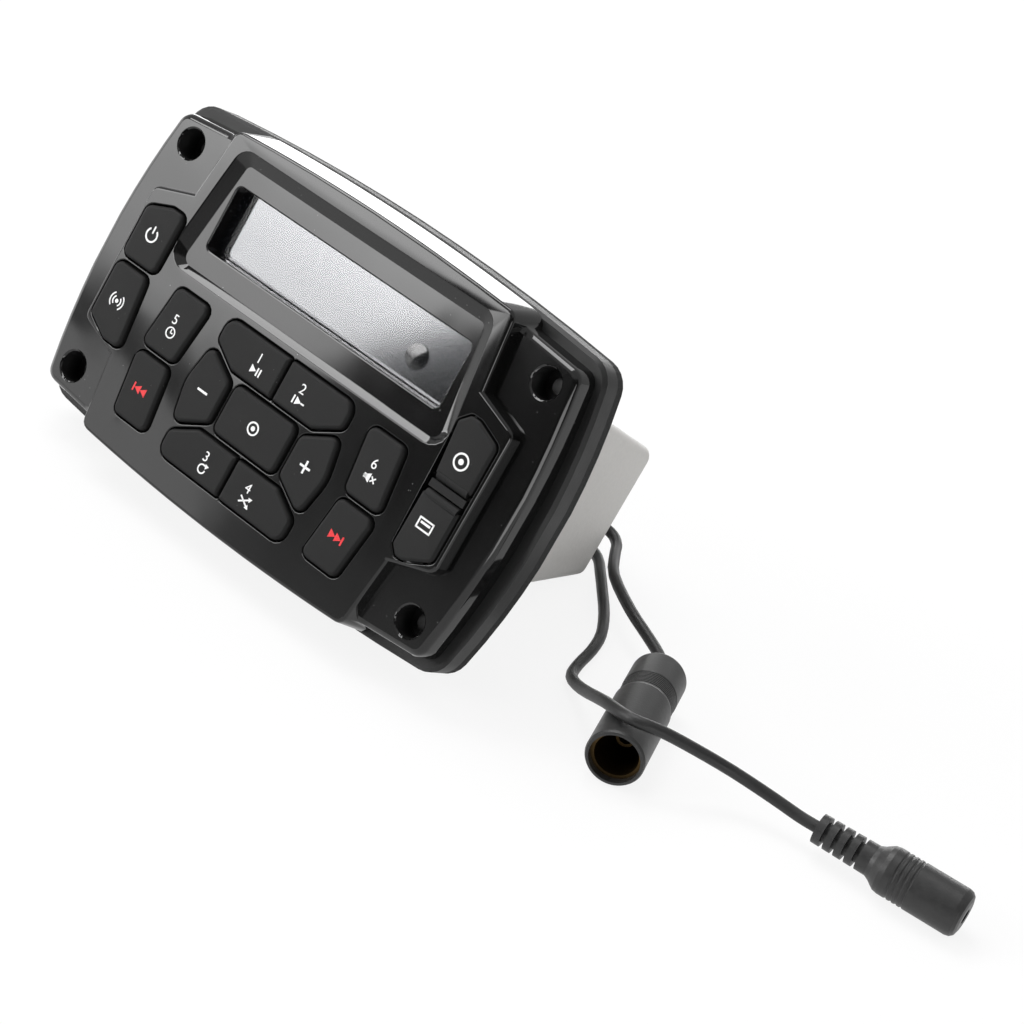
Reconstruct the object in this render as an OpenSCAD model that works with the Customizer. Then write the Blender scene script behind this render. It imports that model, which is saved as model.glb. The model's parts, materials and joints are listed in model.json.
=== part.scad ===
// Flush-mount marine stereo, leaned back on a table as it lies before fitting.
// Device axes: X right, Y from the wing face into the dash, Z up. Millimetres.

/* [Flange] */
// Lip of the frame around the bezel, at the sides
frame_lip = 3.6; // [3.4:0.1:6]
// Height of the rear frame and gasket
frame_h = 87.6; // [86.8:0.2:94]
// Radius of the bowed sides of the frame
frame_side_arc = 156; // [140:1:220]
// Radius of the bowed top and bottom of the frame
frame_top_arc = 600; // [560:10:900]
// Corner radius of the frame
frame_corner = 7; // [4:0.5:10]
// Thickness of the rear frame
frame_t = 5.8; // [5:0.1:8]
// Thickness of the sealing gasket
gasket_t = 2.6; // [1:0.1:4]
// Land between the chassis sides and the mounting holes
hole_land = 5.8; // [5.4:0.1:6.4]
// Spacing of the mounting holes up
hole_dz = 61.5; // [60:0.5:63]
// Mounting hole diameter
hole_d = 4.3; // [3.5:0.1:5]
// Diameter of the sunk well around each mounting hole
well_d = 7.6; // [7:0.1:8.4]

/* [Bezel] */
// Width of the bezel's wings outside the mounting holes
wing_land = 10.2; // [9:0.1:10.4]
// Height of the bezel at its face
bezel_h = 80.7; // [79:0.1:82]
// Radius of the bowed sides of the bezel
bezel_side_arc = 185; // [140:1:220]
// Radius of the bowed top and bottom of the bezel
bezel_top_arc = 580; // [450:10:800]
// Corner radius of the bezel
bezel_corner = 3.5; // [2:0.5:6]
// Depth of the bezel from its wings to the frame
bezel_t = 7; // [6:0.1:9]
// Outward flare of the bezel walls
bezel_flare = 0.4; // [0:0.1:1]
// Wall of the bezel
skin = 2.2; // [1.6:0.1:2.6]
// Rounding along the front edges of the centre panel
edge_bevel = 0.9; // [0.6:0.1:1.2]
// Rounding along the front edges of the wings
wing_bevel = 1.6; // [0.4:0.1:1.8]
// Outward flare of the centre panel's walls
centre_flare = 1.4; // [0.4:0.1:1.4]
// Rounded lip of the key openings, screw wells and screen surround
lip = 0.4; // [0.2:0.05:0.45]
// Rise of the centre panel above the wings
rise = 3.7; // [3.4:0.1:5]
// Height of the centre panel at its middle
centre_h = 84; // [82.4:0.2:86]
// Radius of the bowed top and bottom of the centre panel
centre_arc = 627; // [500:1:900]
// Width of the centre panel at its top and bottom
centre_w = 89.6; // [88:0.2:92]
// How much wider the centre panel is where the ears leave it
waist_flare = 5.4; // [4.6:0.2:7]
// Width of the centre panel across its ears
ear_w = 118.8; // [118:0.2:121]
// Height of the ears at their outer edge
ear_h = 36.2; // [35:0.2:38]
// Height of the ears where they leave the panel
ear_root_h = 43.8; // [43:0.2:46]

/* [Screen] */
// Window width
window_w = 76.6; // [70:0.2:78]
// Window height
window_h = 16.9; // [14:0.1:18]
// Height of the window's middle above the face's middle
window_z = 20.75; // [20:0.05:21.5]
// Width of the sunk screen surround at its lower edge
surround_w = 92; // [90:0.2:92.6]
// Width of the sunk screen surround at its upper edge
surround_top_w = 82; // [80:0.2:84]
// Height of the sunk screen surround
surround_h = 32.2; // [31:0.1:32.4]
// Width of the sloped border of the surround
surround_slope = 3; // [2:0.1:3.4]
// Width of the slope below the screen
surround_sill = 1.4; // [1:0.1:2]
// Depth of the surround below the centre panel
surround_depth = 1.8; // [1:0.1:2.2]
// Depth of the lens behind the surround
lens_depth = 3.6; // [3.4:0.1:4.4]
// Thickness of the lens
lens_t = 1.2; // [1:0.1:1.5]
// Thickness of the liquid-crystal panel
lcd_t = 2.2; // [1.5:0.1:2.4]
// Thickness of the backlight
backlight_t = 1.9; // [1.2:0.1:2]
// Diameter of the remote sensor's dome
sensor_d = 6.2; // [4:0.1:8]
// Place of the remote sensor from the middle
sensor_x = 24.3; // [15:0.1:30]

/* [Keys] */
// Key travel
travel = 1; // [0.5:0.1:1.2]
// How far the keys stand out of the panel
key_proud = 1.1; // [1.1:0.1:1.8]
// Gap around each key
key_gap = 0.35; // [0.3:0.05:0.4]
// Bevel of the key edges
key_bevel = 0.9; // [0.5:0.1:1.1]
// Corner radius of the keys
key_corner = 2; // [1.4:0.1:2.2]
// Rib of the panel between neighbouring keys, with the gaps beside it
key_rib = 1.5; // [1.3:0.1:1.7]
// Slit between the two keys of a pair
pair_slit = 0.6; // [0.5:0.1:1]
// Height of the select key's middle
pad_z = -15.4; // [-15.8:0.1:-15]
// Select key width
select_w = 20.6; // [19:0.2:21]
// Select key height
select_h = 12.8; // [12:0.1:13]
// Width across a pair of number keys
pair_w = 42; // [40:0.2:43]
// Height of a number key
pair_h = 10.6; // [10:0.1:10.8]
// Width of a pair along its edge at the select key
pair_flat_w = 27; // [25:0.2:28]
// Height of the slanted corner of a pair
pair_cut = 4.2; // [3.4:0.1:4.4]
// Width of a volume key
volume_w = 10.4; // [9:0.2:11]
// Height of a volume key at its inner edge
volume_in_h = 10.6; // [10:0.2:11]
// Height of a volume key at its outer edge
volume_out_h = 21; // [20:0.2:21.4]
// Bow of the outer edge of a volume key
volume_bow = 1.6; // [0.8:0.1:2]
// Width of a side key
side_w = 11.3; // [10:0.1:11.6]
// Middle of the side keys at their upper and lower ends
side_x = 32.4; // [32:0.1:32.8]
// How far the side keys lean out where they meet
side_lean = 2.2; // [1.5:0.1:2.4]
// Top of the upper side keys
side_top = 1.7; // [1:0.1:2.2]
// Height of a side key
side_h = 16.3; // [15:0.1:16.8]
// Inner edge of the ear keys and port covers
ear_in = 45.7; // [45.5:0.1:46.5]
// Outer edge of the ear keys and port covers
ear_out = 57.7; // [57:0.1:58]
// Top of the power key and of the upper port cover
ear_top = 16.1; // [15.4:0.1:16.4]
// Foot of the power key
power_foot = 0.2; // [-0.5:0.1:1]
// Foot of the band key and of the lower port cover
ear_foot = -19.6; // [-20:0.1:-19]
// Slanted corner of the ear keys, across
ear_cut = 7; // [5:0.2:8]
// Slanted corner of the ear keys, up
ear_cut_h = 2.6; // [2:0.1:4]

/* [Ports] */
// Thickness of the port covers
cover_t = 2.6; // [2.2:0.1:2.8]
// Height of the strip between the covers
strip_h = 2.5; // [2.2:0.1:3.5]
// Depth of the pocket that holds the covers
cover_pocket = 2.4; // [2.2:0.1:2.5]
// Bore of the audio input
aux_bore_d = 3.6; // [3.5:0.05:3.8]
// Diameter of the audio input's collar
aux_collar_d = 6.2; // [5:0.1:7]
// Width of the data socket's shell
usb_w = 5.6; // [5:0.1:6]
// Height of the data socket's shell
usb_h = 13.1; // [12:0.1:13.4]
// Wall of the data socket's shell
usb_wall = 0.4; // [0.3:0.05:0.6]

/* [Chassis] */
// Depth of the chassis behind the rear frame
tub_depth = 70.7; // [66:0.1:90]
// Width of the chassis at the frame
tub_front_w = 104.4; // [100:0.2:108]
// Height of the chassis at the frame
tub_front_h = 59.2; // [57:0.2:60]
// Width of the chassis at its rear
tub_rear_w = 97.4; // [94:0.2:99]
// Height of the chassis at its rear
tub_rear_h = 37.2; // [36:0.2:40]
// Corner radius of the chassis
tub_corner = 3; // [2:0.5:5]
// Wall of the chassis
tub_wall = 2; // [1.5:0.1:2.5]
// Height of the main board's middle
board_z = -7; // [-8:0.1:-6]
// Thickness of the circuit boards
board_t = 1.6; // [1:0.1:2]

/* [Leads] */
// Diameter of both leads
cord_d = 2.9; // [2:0.1:3.5]
// Diameter of the antenna socket
antenna_d = 14; // [12:0.1:14]
// Length of the antenna socket
antenna_l = 40.5; // [36:0.5:42]
// Diameter of the jack's body
jack_d = 11.6; // [10:0.1:11.6]
// Length of the jack
jack_l = 37.3; // [34:0.1:40]
// Length of the jack's strain relief
relief_l = 14; // [11:0.1:16]

/* [Hidden] */
$fn = 48;

// Small gap between pieces that move past each other
play = 0.3;
// Overlap that makes cuts and unions clean
eps = 0.05;

// Widths: the mounting holes clear the chassis, the wings reach past the holes, the frame past the wings
hole_dx = tub_front_w + 2 * hole_land;
bezel_w = hole_dx + 2 * wing_land;
frame_w = bezel_w + 2 * frame_lip;
waist_w = centre_w + waist_flare;

// Depths along Y
panel_y = -rise;
frame_y = bezel_t;
gasket_y = frame_y + frame_t;
seat_y = gasket_y + gasket_t;
rear_y = gasket_y + tub_depth;
surround_y = panel_y + surround_depth;
lens_y = surround_y + lens_depth;
lcd_y = lens_y + lens_t;
backlight_y = lcd_y + lcd_t;
screen_back = backlight_y + backlight_t;
key_y = panel_y - key_proud;

// The unit rests on the lower rear edges of the gasket and the chassis
lean = atan((frame_h - tub_rear_h) / 2 / (rear_y - seat_y));
rest_z = seat_y * sin(lean) + frame_h / 2 * cos(lean);
nose_y = panel_y * cos(lean) - (centre_h / 2 - edge_bevel) * sin(lean);
tail_y = rear_y * cos(lean) + tub_rear_h / 2 * sin(lean);
rest_y = -(nose_y + tail_y) / 2;

module rested() {
    translate([0, rest_y, rest_z]) rotate([-lean, 0, 0]) children();
}

// Plane geometry: outlines are lists of [x, z], counter-clockwise
function unit(v) = v / norm(v);
function outward(a, b) = let (d = unit(b - a)) [d[1], -d[0]];
function wrap(p, i) = p[(i + len(p)) % len(p)];

// Outline moved outward by d
function grown(p, d) = [
    for (i = [0 : len(p) - 1])
        let (n = outward(wrap(p, i - 1), p[i]), m = outward(p[i], wrap(p, i + 1)))
            p[i] + (n + m) * d / (1 + n * m)
];

// Arc of n steps that rounds the corner b between a and c
function corner(a, b, c, r, n) =
    let (
        u = unit(a - b),
        w = unit(c - b),
        half = acos(u * w) / 2,
        o = b + unit(u + w) * r / sin(half),
        s = b + u * r / tan(half) - o,
        e = b + w * r / tan(half) - o,
        sweep = atan2(s[0] * e[1] - s[1] * e[0], s * e)
    )
    [
        for (i = [0 : n])
            let (t = sweep * i / n)
                o + [s[0] * cos(t) - s[1] * sin(t), s[0] * sin(t) + s[1] * cos(t)]
    ];

// Outline with rounded corners; a corner of radius 0 stays sharp
function rounded(p, r, n = 4) = [
    for (i = [0 : len(p) - 1])
        let (k = is_list(r) ? r[i] : r)
            each k > 0 ? corner(wrap(p, i - 1), p[i], wrap(p, i + 1), k, n) : [p[i]]
];

// Outline moved outward by d before it is rounded, so that the corners keep their centres
function offset_line(p, r, d) = rounded(grown(p, d), [
    for (i = [0 : len(p) - 1]) let (k = is_list(r) ? r[i] : r) k > 0 ? max(k + d, 0.3) : 0
]);

function mirrored(p) = [for (i = [len(p) - 1 : -1 : 0]) [-p[i][0], p[i][1]]];
function box(w, h, z = 0) = [
    for (k = [[-1, -1], [1, -1], [1, 1], [-1, 1]]) [k[0] * w / 2, z + k[1] * h / 2]
];
// Points of an arc, without its last one
function arc(o, r, a, b, n) = [
    for (i = [0 : n - 1])
        let (t = a + (b - a) * i / n)
            o + r * [cos(t), sin(t)]
];

// Point to the left of the way from c to d where two circles meet
function meet(c, r, d, s) =
    let (v = d - c, l = norm(v), a = (r * r - s * s + l * l) / (2 * l), h = sqrt(r * r - a * a))
    c + v * a / l + [-v[1], v[0]] * h / l;

// Whole outline from its upper right quarter, which ends on the middle line or short of it
function all_round(quarter) = concat(
    quarter,
    [for (p = mirrored(quarter)) if (p[0] < -eps) p],
    [for (p = quarter) -p],
    [for (p = mirrored(quarter)) if (p[0] < -eps) -p]
);

// Box with bowed sides and round corners that run into each other
function bowed(w, h, side, top, r) =
    let (
        c = [w / 2 - side, 0],
        d = [0, h / 2 - top],
        o = meet(c, side - r, d, top - r),
        a = atan2(o[1], o[0] - c[0]),
        b = atan2(o[1] - d[1], o[0]),
        quarter = concat(
            arc(c, side, a / 5, a, 4), arc(o, r, a, b, 5), arc(d, top, b, 90, 5), [[0, h / 2]]
        )
    )
    all_round(quarter);

// Prism of an outline between two depths
module slab(p, y0, y1) {
    translate([0, y1, 0]) rotate([90, 0, 0]) linear_extrude(y1 - y0) polygon(p);
}

// Solid through like outlines at growing depths, given as [outline, y]
module loft(levels) {
    n = len(levels[0][0]);
    top = len(levels) - 1;
    polyhedron(
        [for (l = levels) each [for (a = l[0]) [a[0], l[1], a[1]]]],
        [
            [for (i = [n - 1 : -1 : 0]) i],
            [for (i = [0 : n - 1]) top * n + i],
            for (m = [0 : top - 1], i = [0 : n - 1])
                let (j = (i + 1) % n, f = m * n)
                    each [[f + i, f + j, f + n + j], [f + i, f + n + j, f + n + i]]
        ]
    );
}

// Round bar along Y
module bar(x, z, r, y0, y1) {
    translate([x, y1, z]) rotate([90, 0, 0]) cylinder(h = y1 - y0, r = r);
}

module at_holes() {
    for (x = [-1, 1], z = [-1, 1]) translate([x * hole_dx / 2, 0, z * hole_dz / 2]) children();
}

// Outlines of the front
frame_line = bowed(frame_w, frame_h, frame_side_arc, frame_top_arc, frame_corner);
wing_line = bowed(bezel_w, bezel_h, bezel_side_arc, bezel_top_arc, bezel_corner);
centre_corner = 2.5;
centre_top = [0, centre_h / 2 - centre_arc];
centre_end_x = centre_w / 2 + (waist_w - centre_w) / 2 * 0.1;
centre_end = centre_top + [centre_end_x, sqrt(centre_arc * centre_arc - centre_end_x * centre_end_x)];
centre_end_angle = atan2(centre_end[1] - centre_top[1], centre_end[0]);
centre_arch = concat(
    corner([waist_w / 2, ear_root_h / 2], centre_end, [0, centre_h / 2 + 1], centre_corner, 3),
    arc(centre_top, centre_arc, centre_end_angle + 0.5, 90, 6),
    [[0, centre_h / 2]]
);

// The centre panel is a tall body crossed by a band whose ends are the ears
body_line = all_round(concat([[waist_w / 2, ear_root_h / 2]], centre_arch));
ear_slope = (ear_root_h - ear_h) / (ear_w - waist_w);
band_x = 20;
band_z = ear_h / 2 + ear_slope * (ear_w / 2 - band_x);
ear_line = all_round(concat(
    corner([ear_w / 2, 0], [ear_w / 2, ear_h / 2], [band_x, band_z], centre_corner, 3), [[band_x, band_z]]
));
centre_line = all_round(concat(
    corner([ear_w / 2, 0], [ear_w / 2, ear_h / 2], [waist_w / 2, ear_root_h / 2], centre_corner, 3),
    [[waist_w / 2, ear_root_h / 2]],
    centre_arch
));
surround_foot = 5.2;
surround_quad = [
    [-surround_w / 2, surround_foot],
    [surround_w / 2, surround_foot],
    [surround_top_w / 2, surround_foot + surround_h],
    [-surround_top_w / 2, surround_foot + surround_h]
];
surround_line = rounded(surround_quad, [5, 5, 4, 4], 5);
// The floor of the surround reaches lower than the slopes at its sides would leave it
sill_drop = surround_slope - surround_sill;
sill_run = sill_drop * (surround_w - surround_top_w) / 2 / surround_h;
inner_quad = grown(surround_quad, -surround_slope);
floor_line = rounded(
    [
        inner_quad[0] - [sill_run, sill_drop],
        inner_quad[1] + [sill_run, -sill_drop],
        inner_quad[2],
        inner_quad[3]
    ],
    [2.4, 2.4, 1.4, 1.4], 5
);
window_line = rounded(box(window_w, window_h, window_z), 1.4, 3);

// Outlines of the keys: the right-hand one of each pair, before rounding
select_top = pad_z + select_h / 2;
pair_low = select_top + key_rib;
pair_high = pair_low + pair_h;
number_key = [
    [pair_slit / 2, pair_low], [pair_flat_w / 2, pair_low], [pair_w / 2, pair_low + pair_cut],
    [pair_w / 2, pair_high], [pair_slit / 2, pair_high]
];
number_corners = [0.5, key_corner, key_corner, 3, 0.5];
volume_x = select_w / 2 + key_rib;
volume_key = [
    [volume_x, pad_z - volume_in_h / 2], [volume_x + volume_w - 0.6, pad_z - volume_out_h / 2],
    [volume_x + volume_w + volume_bow, pad_z], [volume_x + volume_w - 0.6, pad_z + volume_out_h / 2],
    [volume_x, pad_z + volume_in_h / 2]
];
volume_corners = [key_corner, key_corner, 12, key_corner, key_corner];
side_mid = side_top - side_h;
upper_side_key = [
    [side_x + side_lean - side_w / 2, side_mid], [side_x + side_lean + side_w / 2, side_mid],
    [side_x + side_w / 2, side_top], [side_x - side_w / 2, side_top]
];
lower_side_key = [
    [side_x - side_w / 2, side_mid - key_rib - side_h],
    [side_x + side_w / 2, side_mid - key_rib - side_h],
    [side_x + side_lean + side_w / 2, side_mid - key_rib],
    [side_x + side_lean - side_w / 2, side_mid - key_rib]
];
power_key = [
    [ear_in + 0.4, power_foot], [ear_out, power_foot], [ear_out, ear_top - ear_cut_h],
    [ear_out - ear_cut, ear_top], [ear_in, ear_top]
];
band_key = [
    [ear_in - 0.8, ear_foot], [ear_out - ear_cut, ear_foot], [ear_out, ear_foot + ear_cut_h + 1],
    [ear_out, power_foot - key_rib], [ear_in + 1.4, power_foot - key_rib]
];

function flipped(p) = [for (i = [len(p) - 1 : -1 : 0]) [p[i][0], 2 * pad_z - p[i][1]]];
function reversed(r) = is_list(r) ? [for (i = [len(r) - 1 : -1 : 0]) r[i]] : r;

// Each key: name, corner points, corner radii
KEYS = [
    ["key_power", mirrored(power_key), key_corner],
    ["key_band", mirrored(band_key), key_corner],
    ["key_5", mirrored(upper_side_key), key_corner],
    ["key_6", upper_side_key, key_corner],
    ["key_previous", mirrored(lower_side_key), key_corner],
    ["key_next", lower_side_key, key_corner],
    ["key_1", mirrored(number_key), reversed(number_corners)],
    ["key_2", number_key, number_corners],
    ["key_3", flipped(mirrored(number_key)), number_corners],
    ["key_4", flipped(number_key), reversed(number_corners)],
    ["key_volume_down", mirrored(volume_key), reversed(volume_corners)],
    ["key_volume_up", volume_key, volume_corners],
    ["key_select", box(select_w, select_h, pad_z), key_corner]
];
function key_line(k, d) = offset_line(k[1], k[2], d);

// Key section behind the panel: a stem through the mat and a wider foot
cap_back = panel_y + 2.5;
deck_back = cap_back + travel + play;
mat_y = deck_back;
mat_t = 0.9;
foot_y = mat_y + mat_t + play;
foot_t = 1;
keypad_board_y = foot_y + foot_t + travel + play;
stem_inset = 2;
foot_inset = 1.2;

// Port covers
cover_y = panel_y - key_proud + 0.4;
hinge_y = cover_y + cover_t / 2;
pocket_y = panel_y + cover_pocket;
strip_top = 0;
strip_foot = strip_top - strip_h;
aux_hinge_z = strip_top + cover_t / 2;
usb_hinge_z = strip_foot - cover_t / 2;
port_x = (ear_in + ear_out) / 2 + 0.6;
aux_z = 7.6;
usb_z = (usb_hinge_z + ear_foot) / 2 + 0.6;
port_front = pocket_y + 1.4;
port_back = frame_y + 3;
port_board_w = 11;
port_board_h = aux_z - usb_z + 14;
aux_line = rounded(
    [
        [ear_in + 1.4, aux_hinge_z], [ear_out, aux_hinge_z], [ear_out, ear_top - ear_cut_h],
        [ear_out - ear_cut, ear_top], [ear_in + 2.4, ear_top], [ear_in, ear_top - 2.4]
    ],
    [0, 0, 2, 2, 1, 1]
);
usb_line = rounded(
    [
        [ear_in + 0.8, ear_foot + 2], [ear_in + 2.8, ear_foot], [ear_out - ear_cut, ear_foot],
        [ear_out, ear_foot + ear_cut_h + 1], [ear_out, usb_hinge_z], [ear_in + 1, usb_hinge_z]
    ],
    [1, 1, 2, 2, 0, 0]
);
pocket_line = rounded(
    grown(
        [
            [ear_in + 0.8, ear_foot + 2], [ear_in + 2.8, ear_foot], [ear_out - ear_cut, ear_foot],
            [ear_out, ear_foot + ear_cut_h + 1], [ear_out, ear_top - ear_cut_h],
            [ear_out - ear_cut, ear_top], [ear_in + 2.4, ear_top], [ear_in, ear_top - 2.4]
        ],
        key_gap
    ),
    [1, 1, 2, 2, 2, 2, 1, 1]
);

// Posts of the bezel: screw bosses and board posts
boss_x = 30;
boss_z = 37;
boss_d = 4.8;
screw_d = 2.3;
pilot_d = screw_d + 0.1;
head_d = 4.6;
head_h = 1.6;
board_posts = [[24, 0.4], [23.6, -30.6], [41.7, -6]];
post_d = 2.4;

// Block with a rounded front edge at y and walls that flare towards the frame
module rounded_loft(line, y, r, flare) {
    loft([
        [grown(line, -r), y], [grown(line, -r * 0.35), y + r * 0.3], [line, y + r],
        [grown(line, flare), bezel_t]
    ]);
}

// Cutter for an opening with a rounded lip at y, from the opening's outline, the lip's middle and its rim
module lipped(line, middle, rim, y, y1) {
    loft([[rim, y - 1], [rim, y], [middle, y + lip * 0.3], [line, y + lip], [line, y1]]);
}

module front_bezel() {
    color("#0b0b0d") difference() {
        union() {
            difference() {
                union() {
                    rounded_loft(wing_line, 0, wing_bevel, bezel_flare);
                    for (l = [body_line, ear_line]) rounded_loft(l, panel_y, edge_bevel, centre_flare);
                }
                slab(grown(wing_line, -skin), skin, bezel_t + 1);
                slab(grown(centre_line, -skin), deck_back, skin + eps);
            }
            slab(grown(window_line, skin), surround_y, lens_y);
            at_holes() bar(0, 0, well_d / 2 + 1.8, wing_bevel / 2, bezel_t);
            for (x = [-1, 1], z = [-1, 1]) bar(x * boss_x, z * boss_z, boss_d / 2, 0, bezel_t);
            for (x = [-1, 1], p = board_posts) bar(x * p[0], p[1], post_d / 2, 0, keypad_board_y);
        }
        loft([
            [grown(surround_line, lip), panel_y - 1], [grown(surround_line, lip), panel_y],
            [surround_line, panel_y + lip * 0.4], [floor_line, surround_y]
        ]);
        lipped(
            window_line, grown(window_line, lip * 0.35), grown(window_line, lip), surround_y, lens_y + 1
        );
        for (k = KEYS) lipped(
            key_line(k, key_gap), key_line(k, key_gap + lip * 0.35), key_line(k, key_gap + lip),
            panel_y, deck_back + 0.5
        );
        lipped(pocket_line, grown(pocket_line, lip * 0.35), grown(pocket_line, lip), panel_y, pocket_y);
        bar(port_x, aux_z, aux_collar_d / 2 + play, key_y, bezel_t);
        slab(box_at(port_x, usb_z, usb_w + 2 * play, usb_h + 2 * play), key_y, bezel_t);
        at_holes() {
            bar(0, 0, well_d / 2, -1, bezel_t + 1);
            translate([0, lip, 0]) rotate([90, 0, 0])
                cylinder(h = 2 * lip, r1 = well_d / 2, r2 = well_d / 2 + 2 * lip);
        }
        for (x = [-1, 1], z = [-1, 1]) bar(x * boss_x, z * boss_z, pilot_d / 2, 0.5, bezel_t + 1);
    }
}

function box_at(x, z, w, h) = [for (p = box(w, h, z)) p + [x, 0]];

// Pocket behind the ports and the screen, and the way through for the ribbon
pass_w = 80;
pass_h = 50;
screen_pocket_w = window_w + 6.4;
screen_pocket = rounded(box(screen_pocket_w, window_h + 6.4, window_z), 1.3, 3);
port_pocket = box_at(port_x, (aux_z + usb_z) / 2, port_board_w + 1, port_board_h + 1);

module rear_frame() {
    color("#121214") difference() {
        loft([
            [grown(frame_line, -edge_bevel), frame_y], [frame_line, frame_y + edge_bevel],
            [frame_line, gasket_y]
        ]);
        slab(rounded(box(pass_w, pass_h), 3), frame_y - 1, gasket_y + 1);
        slab(screen_pocket, frame_y - 1, screen_back + play);
        slab(port_pocket, frame_y - 1, port_back + board_t + play);
        at_holes() bar(0, 0, hole_d / 2, frame_y - 1, gasket_y + 1);
        for (x = [-1, 1], z = [-1, 1]) {
            bar(x * boss_x, z * boss_z, screw_d / 2 + 0.2, frame_y - 1, gasket_y + 1);
            bar(x * boss_x, z * boss_z, head_d / 2 + 0.2, gasket_y - head_h - 0.2, gasket_y + 1);
            bar(x * tub_post_x, z * tub_post_z, screw_d / 2 + 0.2, frame_y - 1, gasket_y + 1);
            bar(x * tub_post_x, z * tub_post_z, head_d / 2 + 0.2, frame_y - 1, frame_y + head_h + 0.2);
        }
    }
}

tub_front = rounded(box(tub_front_w, tub_front_h), tub_corner, 5);
tub_rear = rounded(box(tub_rear_w, tub_rear_h), tub_corner, 5);
post_land = 1;
tub_post_x = max(tub_front_w / 2 - tub_wall - 4.4, screen_pocket_w / 2 + head_d / 2 + post_land);
tub_post_z = tub_front_h / 2 - tub_wall - 4.6;
tub_post_l = 14;

module gasket() {
    color("#2b2b2d") difference() {
        slab(frame_line, gasket_y, seat_y);
        slab(grown(tub_front, play), gasket_y - 1, seat_y + 1);
        at_holes() bar(0, 0, hole_d / 2 + 0.4, gasket_y - 1, seat_y + 1);
    }
}

// Rear openings: harness socket and two cord boots
harness_w = 28;
harness_h = 11;
harness_x = -10;
harness_z = board_z + board_t / 2 + harness_h / 2;
boot_jack = [34, -11.7];
boot_antenna = [40, -5.3];
boot_hole_d = 5;
rail_w = 5;
rail_t = 2;

function between(p, q, t) = [for (i = [0 : len(p) - 1]) p[i] + (q[i] - p[i]) * t];
function tub_at(y) = between(tub_front, tub_rear, (y - gasket_y) / tub_depth);

module chassis_tub() {
    back = rear_y - tub_wall;
    post_y = gasket_y + tub_post_l;
    rail_x = tub_front_w / 2 - rail_w;
    rail_z = board_z - board_t / 2 - rail_t / 2;
    color("#b9b6b0") difference() {
        union() {
            difference() {
                loft([[tub_front, gasket_y], [tub_rear, rear_y]]);
                loft([
                    [grown(tub_at(gasket_y - 1), -tub_wall), gasket_y - 1],
                    [grown(tub_at(back), -tub_wall), back]
                ]);
            }
            intersection() {
                loft([[tub_front, gasket_y], [tub_rear, rear_y]]);
                union() {
                    for (x = [-1, 1], z = [-1, 1]) {
                        bar(x * tub_post_x, z * tub_post_z, boss_d / 2, gasket_y, post_y);
                        slab(box_at(x * (tub_post_x + 4), z * tub_post_z, 8, 2), gasket_y, post_y);
                    }
                    for (x = [-1, 1])
                        slab(box_at(x * rail_x, rail_z, 2 * rail_w, rail_t), gasket_y + 3, rear_y);
                }
            }
        }
        for (x = [-1, 1], z = [-1, 1])
            bar(x * tub_post_x, z * tub_post_z, pilot_d / 2, gasket_y - 1, post_y - 2);
        slab(grown(box_at(harness_x, harness_z, harness_w, harness_h), play), back - 1, rear_y + 1);
        for (p = [boot_jack, boot_antenna]) bar(p[0], p[1], boot_hole_d / 2, back - 1, rear_y + 1);
    }
}

module display_lens() {
    line = rounded(box(window_w + 3.6, window_h + 3.6, window_z), 1, 3);
    color("#3a3d40", 0.5) slab(line, lens_y, lcd_y);
}

module lcd_panel() {
    color("#c9ccd0") slab(box(window_w + 2.4, window_h + 2.6, window_z), lcd_y, backlight_y);
}

module lcd_backlight() {
    color("#e8e8e2") difference() {
        slab(rounded(box(window_w + 5, window_h + 5, window_z), 1, 3), backlight_y, screen_back);
        for (x = [-1, 1]) bar(x * (window_w / 2 + 1.4), window_z, 0.8, backlight_y - 1, screen_back + 1);
    }
}

// Dome that stands out of the lens
module remote_sensor() {
    dome = 0.7;
    r = (pow(sensor_d / 2, 2) + dome * dome) / (2 * dome);
    edge = asin((r - dome) / r);
    color("#202124") translate([sensor_x, lens_y, window_z - 1.9]) rotate([90, 0, 0]) rotate_extrude()
        polygon(concat([[0, 0]], arc([0, dome - r], r, edge, 90, 6), [[0, dome]]));
}

// Mat and board share one outline: the key field and the left ear
pad_foot = -boss_z + 1.4;
pad_notch = -boss_z + boss_d / 2 + 0.7;
boss_gap = boss_d / 2 + 0.8;
pad_top = 3.6;
pad_side = min(centre_w / 2 - 0.6, port_x - usb_w / 2 - 1.2);
pad_line = [
    [-ear_out + 0.8, ear_foot + 3.4], [-ear_in - 2.4, ear_foot + 0.6],
    [-centre_w / 2 + 1.4, ear_foot - 1], [-centre_w / 2 + 2.8, pad_foot],
    [-boss_x - boss_gap, pad_foot], [-boss_x - boss_gap, pad_notch],
    [-boss_x + boss_gap, pad_notch], [-boss_x + boss_gap, pad_foot], [boss_x - boss_gap, pad_foot],
    [boss_x - boss_gap, pad_notch], [boss_x + boss_gap, pad_notch], [boss_x + boss_gap, pad_foot],
    [pad_side - 2.2, pad_foot], [pad_side, ear_foot - 1], [pad_side, pad_top],
    [-ear_in - 0.3, pad_top], [-ear_in - 0.3, ear_top - 0.4], [-ear_out + ear_cut, ear_top - 0.4],
    [-ear_out + 0.8, ear_top - ear_cut_h - 1]
];

module keypad_mat() {
    back = mat_y + mat_t;
    color("#2c2c2e") difference() {
        slab(pad_line, mat_y, back);
        for (k = KEYS) slab(key_line(k, key_gap - stem_inset), mat_y - 1, back + 1);
        for (x = [-1, 1], p = board_posts) bar(x * p[0], p[1], post_d / 2 + 0.2, mat_y - 1, back + 1);
    }
}

module keypad_board() {
    color("#1f5a34") slab(pad_line, keypad_board_y, keypad_board_y + board_t);
}

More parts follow.
